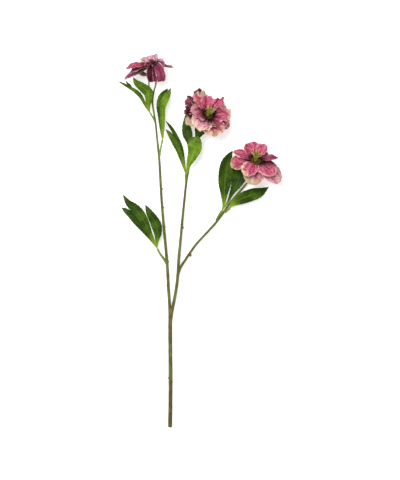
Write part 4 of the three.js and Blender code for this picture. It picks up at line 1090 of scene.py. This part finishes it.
def add_branch(mesh, points, settings, order, cut=False):
    """A ribbed tube along a branch.

    The radius follows the route's, times 1 plus ribs cos(k turn + slow drift), plus a bell-shaped swelling
    and dip at each ring. The cut end has a bevel and a shallow hollow in its pith. The texture map counts
    metres along the branch.
    """
    _, _, _, length = smooth_path(points, [0, 1])
    shares = np.linspace(0, 1, max(12, round(length / RING_STEP)))
    places, ways, radius, _ = smooth_path(points, shares)
    turn = turns(STEM_SIDES)
    along = shares[:, None] * length
    ribs = np.cos(settings.ribs * turn + 0.02 * along + order)
    ribs = ribs + 0.5 * np.cos((settings.ribs + 4) * turn - 0.03 * along)
    uneven = 0.5 * np.sin(0.11 * along + order) + 0.5 * np.sin(0.29 * along + 2 * turn + order)
    radii = settings.girth * radius[:, None] * (1 + settings.rib_depth * ribs + 0.02 * uneven)
    brown = np.zeros(len(shares))
    for height, tint in RINGS:
        distance = places[:, 1] - height
        ring = SWELLING[0] * falls(distance, SWELLING[1]) - DIP[0] * falls(distance - 1.9, DIP[1])
        radii = radii + ring[:, None]
        brown = np.maximum(brown, tint * falls(distance, BROWN_LENGTH))
    pith = np.zeros(len(shares))
    if cut:
        places = np.vstack([places[0] + [0, 0.35, 0], places[0] + [0, 0.25, 0], places[:1], places])
        ways = np.vstack([ways[:1], ways[:1], ways[:1], ways])
        radii = np.vstack([radii[:1] * 0.2, radii[:1] * 0.7, radii[:1] * 0.86, radii])
        shares = np.concatenate([[0, 0, 0], shares])
        brown = np.concatenate([[0, 0, 0.4], brown])
        pith = np.concatenate([[1, 1, 0.7], pith])
    values = {"brown": brown, "pith": pith}
    mesh.tube(on_table(rings_about(places, ways, radii)), values, along=shares * length * MM)


def build_stem(settings, skin):
    """The four branches, the receptacles under the blooms and the old bud scars.

    A receptacle is turned about the bloom's axis, and its radius eases out from the branch's to the hub's.
    A scar is a spindle along the stem, whose radius is a power of a half sine.
    """
    mesh = Skin()
    add_branch(mesh, reach_bloom(LEFT_BRANCH, BLOOMS["left"]), settings, 0.0, cut=True)
    add_branch(mesh, reach_bloom(MIDDLE_BRANCH, BLOOMS["middle"]), settings, 2.0)
    add_branch(mesh, reach_bloom(RIGHT_BRANCH, BLOOMS["right"]), settings, 4.0)
    add_branch(mesh, BUD_BRANCH, settings, 6.0)
    low = RECEPTACLE_TOP - RECEPTACLE_LENGTH
    height = np.linspace(0, 1, 14)
    swell = RECEPTACLE_FOOT + (RECEPTACLE_RADIUS - RECEPTACLE_FOOT) * ease(height, 0.0, 0.92)
    swell = swell * (1 - 0.12 * ease(height, 0.9, 1.0))
    profile = [(0.3, low), *zip(swell, low + RECEPTACLE_LENGTH * height), (0.3, RECEPTACLE_TOP)]
    for bloom in BLOOMS.values():
        cup = placed(turned_rings(profile, 24), bloom["centre"], bloom["axis"])
        mesh.tube(cup, {"brown": 0.25, "pith": 0.0}, along=np.full(len(profile), 0.5))
    share = np.linspace(0, 1, 12)
    for x, y, z, radius in SCARS:
        spine = [[x, y - 1.5 * radius, z], [x, y, z], [x, y + 1.45 * radius, z]]
        places, ways, _, _ = smooth_path(spine, share)
        radii = 0.05 + radius * np.sin(np.pi * share**0.8) ** 0.7 * (1 - 0.35 * share)
        rings = rings_about(places, ways, np.repeat(radii[:, None], 12, 1))
        mesh.tube(rings, {"brown": 0.75, "pith": 0.0}, along=np.full(len(share), 0.3))
    return mesh.build("stem_ribbed", skin, "stem")


# ---- the bud ----
SEPALS = 5


def build_bud(skin):
    """A closed bud of five sepals that lap over each other in a slow spiral.

    Its radius is an egg's, the root of 1 minus height squared, and each sepal's edge stands a little over
    the next: a saw tooth of five times the turn plus the height.
    """
    mesh = Skin()
    share = 0.5 - 0.5 * np.cos(np.linspace(0, np.pi, 30))[:, None]
    turn = turns(60)[None]
    height = 2 * share - 1
    egg = np.sqrt(np.maximum(1 - height**2, 0)) * (1 - 0.25 * height)
    lap = ((SEPALS * turn / (2 * np.pi) + 0.55 * share) % 1.0) ** 1.5
    radius = BUD["radius"] * egg * (0.95 + 0.1 * lap * np.sqrt(np.sin(np.pi * share))) + 0.05
    rings = upright_rings(radius, share * BUD["length"], turn)
    mesh.tube(placed(rings, BUD["base"], BUD["axis"]), {})
    return mesh.build("bud_sepals", skin, "bud")


# ---- settings ----
def colour(label, text, code):
    """A colour setting that starts at an sRGB code."""
    return FloatVectorProperty(name=label, description=text, subtype="COLOR", size=4, default=linear(code))


class HelleborePetalSettings(bpy.types.PropertyGroup):
    """Sizes and colours of the petals."""

    petal_thickness: FloatProperty(
        name="Thickness", description="Thickness of a petal in millimetres", default=0.5, min=0.2, max=0.9
    )
    frill_length: FloatProperty(
        name="Frill length", description="Way from fold to fold of a frill in mm", default=10.5, min=2
    )
    pink: colour("Pink", "Dusky pink of most petals", "#c05474")
    hot: colour("Bright pink", "Brightest pink, in the middle of the inner petals", "#c54c75")
    lilac: colour("Lilac", "Pale lilac of the small upper petals", "#dba8c4")
    crimson: colour("Crimson", "Deep red of the shaded petals", "#8e2c48")
    rose: colour("Rose", "Warm pink of the left bloom's long petals", "#ad385c")
    coral: colour("Coral", "Warm red of the petals in the light", "#c44a5c")
    magenta: colour("Magenta", "Purple pink of the outer petals", "#94385e")
    mauve: colour("Mauve", "Dull purple of the outer petals and of thin rims", "#8a4462")
    # Also a painted shade: petals that lie in the shade of others take maroon as their tone.
    maroon: colour("Maroon", "Darkest red, of the folded petals and the hub", "#4e1522")
    blush: colour("Blush", "Pale pink of wide rims", "#dca0ac")
    peach: colour("Peach", "Pale orange of some rims", "#d0a08e")
    shell: colour("Shell", "Greyish pink of faded petals and rims", "#c4a49c")
    lime: colour("Lime", "Green of the greenest rims", "#acae76")
    cream: colour("Cream", "Palest yellow of the rims", "#dccfa6")
    straw: colour("Straw", "Yellowish green of the rims", "#c6bc84")
    # Grey rims are a painted sheen at the petals' tips.
    grey: colour("Grey", "Withered rims", "#857870")
    umber: colour("Umber", "Brown of the oldest petals", "#6d5048")
    olive: colour("Olive", "Green of a petal that has turned to a sepal", "#59602f")
    # Darker copy of a petal's tone, shown at random in the mottling and as painted shade in the folds.
    shade: colour("Fold", "Pigment in the folds, times the petal's own tone", "#c88ea0")
    # A light band along every petal's rim: a painted highlight.
    light: colour("Edge", "Papery light edge of a petal", "#eeb4c0")
    patch: colour("Patch", "Uneven patches, times the petal's own tone", "#c88090")
    vein: colour("Vein", "Veins, times the petal's own tone", "#96505f")
    # The petals' own dark base, and partly painted shade where the petals meet at the centre.
    throat: colour("Throat", "Dark throat at a petal's foot", "#2a0409")
    heart: colour("Heart", "Olive green where the petals meet", "#6c6a2c")
    underside: colour("Underside", "Duller underside, mixed in", "#8f5f66")


class HelleboreLeafSettings(bpy.types.PropertyGroup):
    """Sizes and colours of the leaves."""

    leaf_thickness: FloatProperty(
        name="Thickness", description="Thickness of a leaflet in millimetres", default=0.55, min=0.2, max=0.8
    )
    tooth_spacing: FloatProperty(
        name="Tooth spacing", description="Millimetres between the teeth of a leaflet", default=5.2, min=2
    )
    tooth: FloatProperty(name="Tooth depth", description="Depth of a tooth in mm", default=0.5, min=0)
    vein_spacing: FloatProperty(
        name="Vein spacing", description="Millimetres between pairs of lateral veins", default=8.5, min=3
    )
    stalk_girth: FloatProperty(
        name="Stalk girth", description="Thickness of the stalks, times their routes'", default=1.25, min=0.5
    )
    dark: colour("Dark green", "Darkest green of an upper side", "#182c02")
    dark_patch: colour("Dark patch", "Lighter patches of an upper side", "#2f4c05")
    light: colour("Light green", "Darkest green of a light underside", "#42660a")
    light_patch: colour("Light patch", "Lighter patches of a light underside", "#6c8c1c")
    mottle: colour("Mottling", "Fine mottling, times the green", "#87986a")
    vein: colour("Vein", "Veins of a dark leaf", "#4b6620")
    light_vein: colour("Light vein", "Veins of a light leaf", "#90ac44")
    base: colour("Base", "Yellow green at a leaflet's foot", "#86a02c")
    tip: colour("Tip", "Brown at a leaflet's tip", "#3a3626")
    underside: colour("Underside", "Paler side that faces the table, mixed in", "#6f8f48")


class HelleboreStemSettings(bpy.types.PropertyGroup):
    """Sizes and colours of the stem."""

    ribs: IntProperty(name="Ribs", description="Lengthwise ribs round the stem", default=7, min=3)
    rib_depth: FloatProperty(
        name="Rib depth", description="Height of a rib, as a share of the radius", default=0.035, min=0
    )
    girth: FloatProperty(
        name="Girth", description="Thickness of the stem, times its route's", default=1.12, min=0.5
    )
    low: colour("Cut end", "Olive brown at the cut end", "#625c30")
    middle: colour("Middle", "Olive green half way up", "#70763f")
    high: colour("Top", "Grey green under the blooms", "#777b52")
    pale: colour("Pale", "Pale patches, mixed in", "#8f9a5c")
    streak: colour("Streak", "Lengthwise streaks, times the green", "#8a8664")
    brown: colour("Brown", "Flecks, scars and rings at the forks", "#63492f")
    pith: colour("Pith", "Pale pith in the cut end", "#c9c795")


class HelleboreStamenSettings(bpy.types.PropertyGroup):
    """Sizes, number and colours of the stamens."""

    stamens: IntProperty(name="Stamens", description="Stamens in a bloom", default=36, min=10)
    filament: FloatProperty(name="Filament", description="Radius of a filament in mm", default=0.24, min=0.1)
    anther: FloatProperty(name="Anther", description="Size of an anther in mm", default=0.7, min=0.3)
    seed: IntProperty(name="Seed", description="Chooses the stamens' lengths and bends", default=7)
    thread_low: colour("Thread foot", "Green at a filament's foot", "#a3b138")
    thread: colour("Thread", "Yellow green at a filament's tip", "#c3ca56")
    pollen: colour("Pollen", "Cream of the anthers", "#d8d08a")
    carpel: colour("Carpel", "Green of the carpels", "#87983a")
    shade: colour("Grain", "Grain of the skin, times its tone", "#a5a060")


class HelleboreBudSettings(bpy.types.PropertyGroup):
    """Colours of the bud."""

    green: colour("Green", "Olive green at the bud's foot", "#707a45")
    pink: colour("Flush", "Dull pink at the bud's tip", "#8f4a5c")
    streak: colour("Streak", "Streaks, times the green", "#a08a7a")


class HelleboreStageSettings(bpy.types.PropertyGroup):
    """The table, the lamps and the camera."""

    table: FloatProperty(name="Table", description="Width of the table", default=8.0, subtype="DISTANCE")
    daylight: FloatProperty(name="Daylight", description="Strength of the light all round", default=0.56)
    key: FloatProperty(name="Key lamp", description="Power of the large soft lamp in watts", default=52.0)
    camera_height: FloatProperty(
        name="Camera height", description="Camera's height above the table", default=4.0, subtype="DISTANCE"
    )
    acrylic: colour("Table colour", "Near white of the table's acrylic sheet", "#f4f4f2")


# ---- operators ----
class HELLEBORE_OT_petals(bpy.types.Operator):
    """Makes the three blooms' petals"""

    bl_idname = "hellebore.petals"
    bl_label = "Petals"

    def execute(self, context):
        settings = context.scene.hellebore_petals
        skin = petal_skin(settings)
        for side in BLOOMS:
            build_petals(side, settings, skin)
        return {"FINISHED"}


class HELLEBORE_OT_stamens(bpy.types.Operator):
    """Makes the three blooms' stamens and carpels"""

    bl_idname = "hellebore.stamens"
    bl_label = "Stamens"

    def execute(self, context):
        settings = context.scene.hellebore_stamens
        skin = stamen_skin(settings)
        for side in BLOOMS:
            build_stamens(side, settings, skin)
        return {"FINISHED"}


class HELLEBORE_OT_leaves(bpy.types.Operator):
    """Makes the six leaves"""

    bl_idname = "hellebore.leaves"
    bl_label = "Leaves"

    def execute(self, context):
        settings = context.scene.hellebore_leaves
        skin = leaf_blade(settings)
        for name in LEAVES:
            build_leaf(name, settings, skin)
        return {"FINISHED"}


class HELLEBORE_OT_stem(bpy.types.Operator):
    """Makes the forked stem"""

    bl_idname = "hellebore.stem"
    bl_label = "Stem"

    def execute(self, context):
        settings = context.scene.hellebore_stem
        build_stem(settings, stem_skin(settings))
        return {"FINISHED"}


class HELLEBORE_OT_bud(bpy.types.Operator):
    """Makes the closed bud"""

    bl_idname = "hellebore.bud"
    bl_label = "Bud"

    def execute(self, context):
        build_bud(bud_skin(context.scene.hellebore_bud))
        return {"FINISHED"}


KEY_SIZE = 1.4  # metres, like the places of the lamp and the camera
KEY_PLACE = (-0.6, 0.8, 2.2)
KEY_TILT = (-20, -15, 0)  # degrees
LENS = 200
SENSOR = 36
CAMERA_ASIDE = (0.001, 0.0017)


class HELLEBORE_OT_stage(bpy.types.Operator):
    """Makes the table, the lamps and the camera"""

    bl_idname = "hellebore.stage"
    bl_label = "Stage"

    def execute(self, context):
        settings = context.scene.hellebore_stage
        scene = context.scene
        half = settings.table / 2
        mesh = bpy.data.meshes.new("table_top")
        corners = [(-half, -half, 0), (half, -half, 0), (half, half, 0), (-half, half, 0)]
        mesh.from_pydata(corners, [], [(0, 1, 2, 3)])
        table = bpy.data.objects.new("table_top", mesh)
        table.data.materials.append(table_top(settings.acrylic))
        scene.collection.objects.link(table)

        world = bpy.data.worlds.new("daylight")
        world.use_nodes = True
        background = world.node_tree.nodes["Background"]
        background.inputs["Color"].default_value = (1, 1, 1, 1)
        background.inputs["Strength"].default_value = settings.daylight
        scene.world = world
        lamp = bpy.data.lights.new("key_lamp", "AREA")
        lamp.shape = "DISK"
        lamp.size = KEY_SIZE
        lamp.energy = settings.key
        key = bpy.data.objects.new("key_lamp", lamp)
        key.location = KEY_PLACE
        key.rotation_euler = [math.radians(angle) for angle in KEY_TILT]
        scene.collection.objects.link(key)

        lens = bpy.data.cameras.new("camera")
        lens.lens = LENS
        lens.sensor_width = SENSOR
        camera = bpy.data.objects.new("camera", lens)
        camera.location = (*CAMERA_ASIDE, settings.camera_height)
        scene.collection.objects.link(camera)
        scene.camera = camera
        scene.view_settings.view_transform = "Standard"
        return {"FINISHED"}


class HELLEBORE_PT_panel(bpy.types.Panel):
    """Lists the pieces of the spray in the sidebar"""

    bl_idname = "HELLEBORE_PT_panel"
    bl_label = "Hellebore"
    bl_space_type = "VIEW_3D"
    bl_region_type = "UI"
    bl_category = "Hellebore"

    def draw(self, context):
        for key, (_, operators) in PANEL_ROWS.items():
            settings = getattr(context.scene, key)
            for name in settings.__annotations__:
                self.layout.prop(settings, name)
            for operator in operators:
                self.layout.operator(operator.bl_idname)


PANEL_ROWS = {
    "hellebore_stage": (HelleboreStageSettings, [HELLEBORE_OT_stage]),
    "hellebore_stem": (HelleboreStemSettings, [HELLEBORE_OT_stem]),
    "hellebore_leaves": (HelleboreLeafSettings, [HELLEBORE_OT_leaves]),
    "hellebore_petals": (HelleborePetalSettings, [HELLEBORE_OT_petals]),
    "hellebore_stamens": (HelleboreStamenSettings, [HELLEBORE_OT_stamens]),
    "hellebore_bud": (HelleboreBudSettings, [HELLEBORE_OT_bud]),
}


def register():
    for key, (group, operators) in PANEL_ROWS.items():
        bpy.utils.register_class(group)
        setattr(bpy.types.Scene, key, PointerProperty(type=group))
        for operator in operators:
            bpy.utils.register_class(operator)
    bpy.utils.register_class(HELLEBORE_PT_panel)


def unregister():
    bpy.utils.unregister_class(HELLEBORE_PT_panel)
    for key, (group, operators) in PANEL_ROWS.items():
        for operator in operators:
            bpy.utils.unregister_class(operator)
        delattr(bpy.types.Scene, key)
        bpy.utils.unregister_class(group)


def main():
    register()
    bpy.ops.hellebore.stage()
    bpy.ops.hellebore.stem()
    bpy.ops.hellebore.leaves()
    bpy.ops.hellebore.petals()
    bpy.ops.hellebore.stamens()
    bpy.ops.hellebore.bud()


if __name__ == "__main__":
    main()
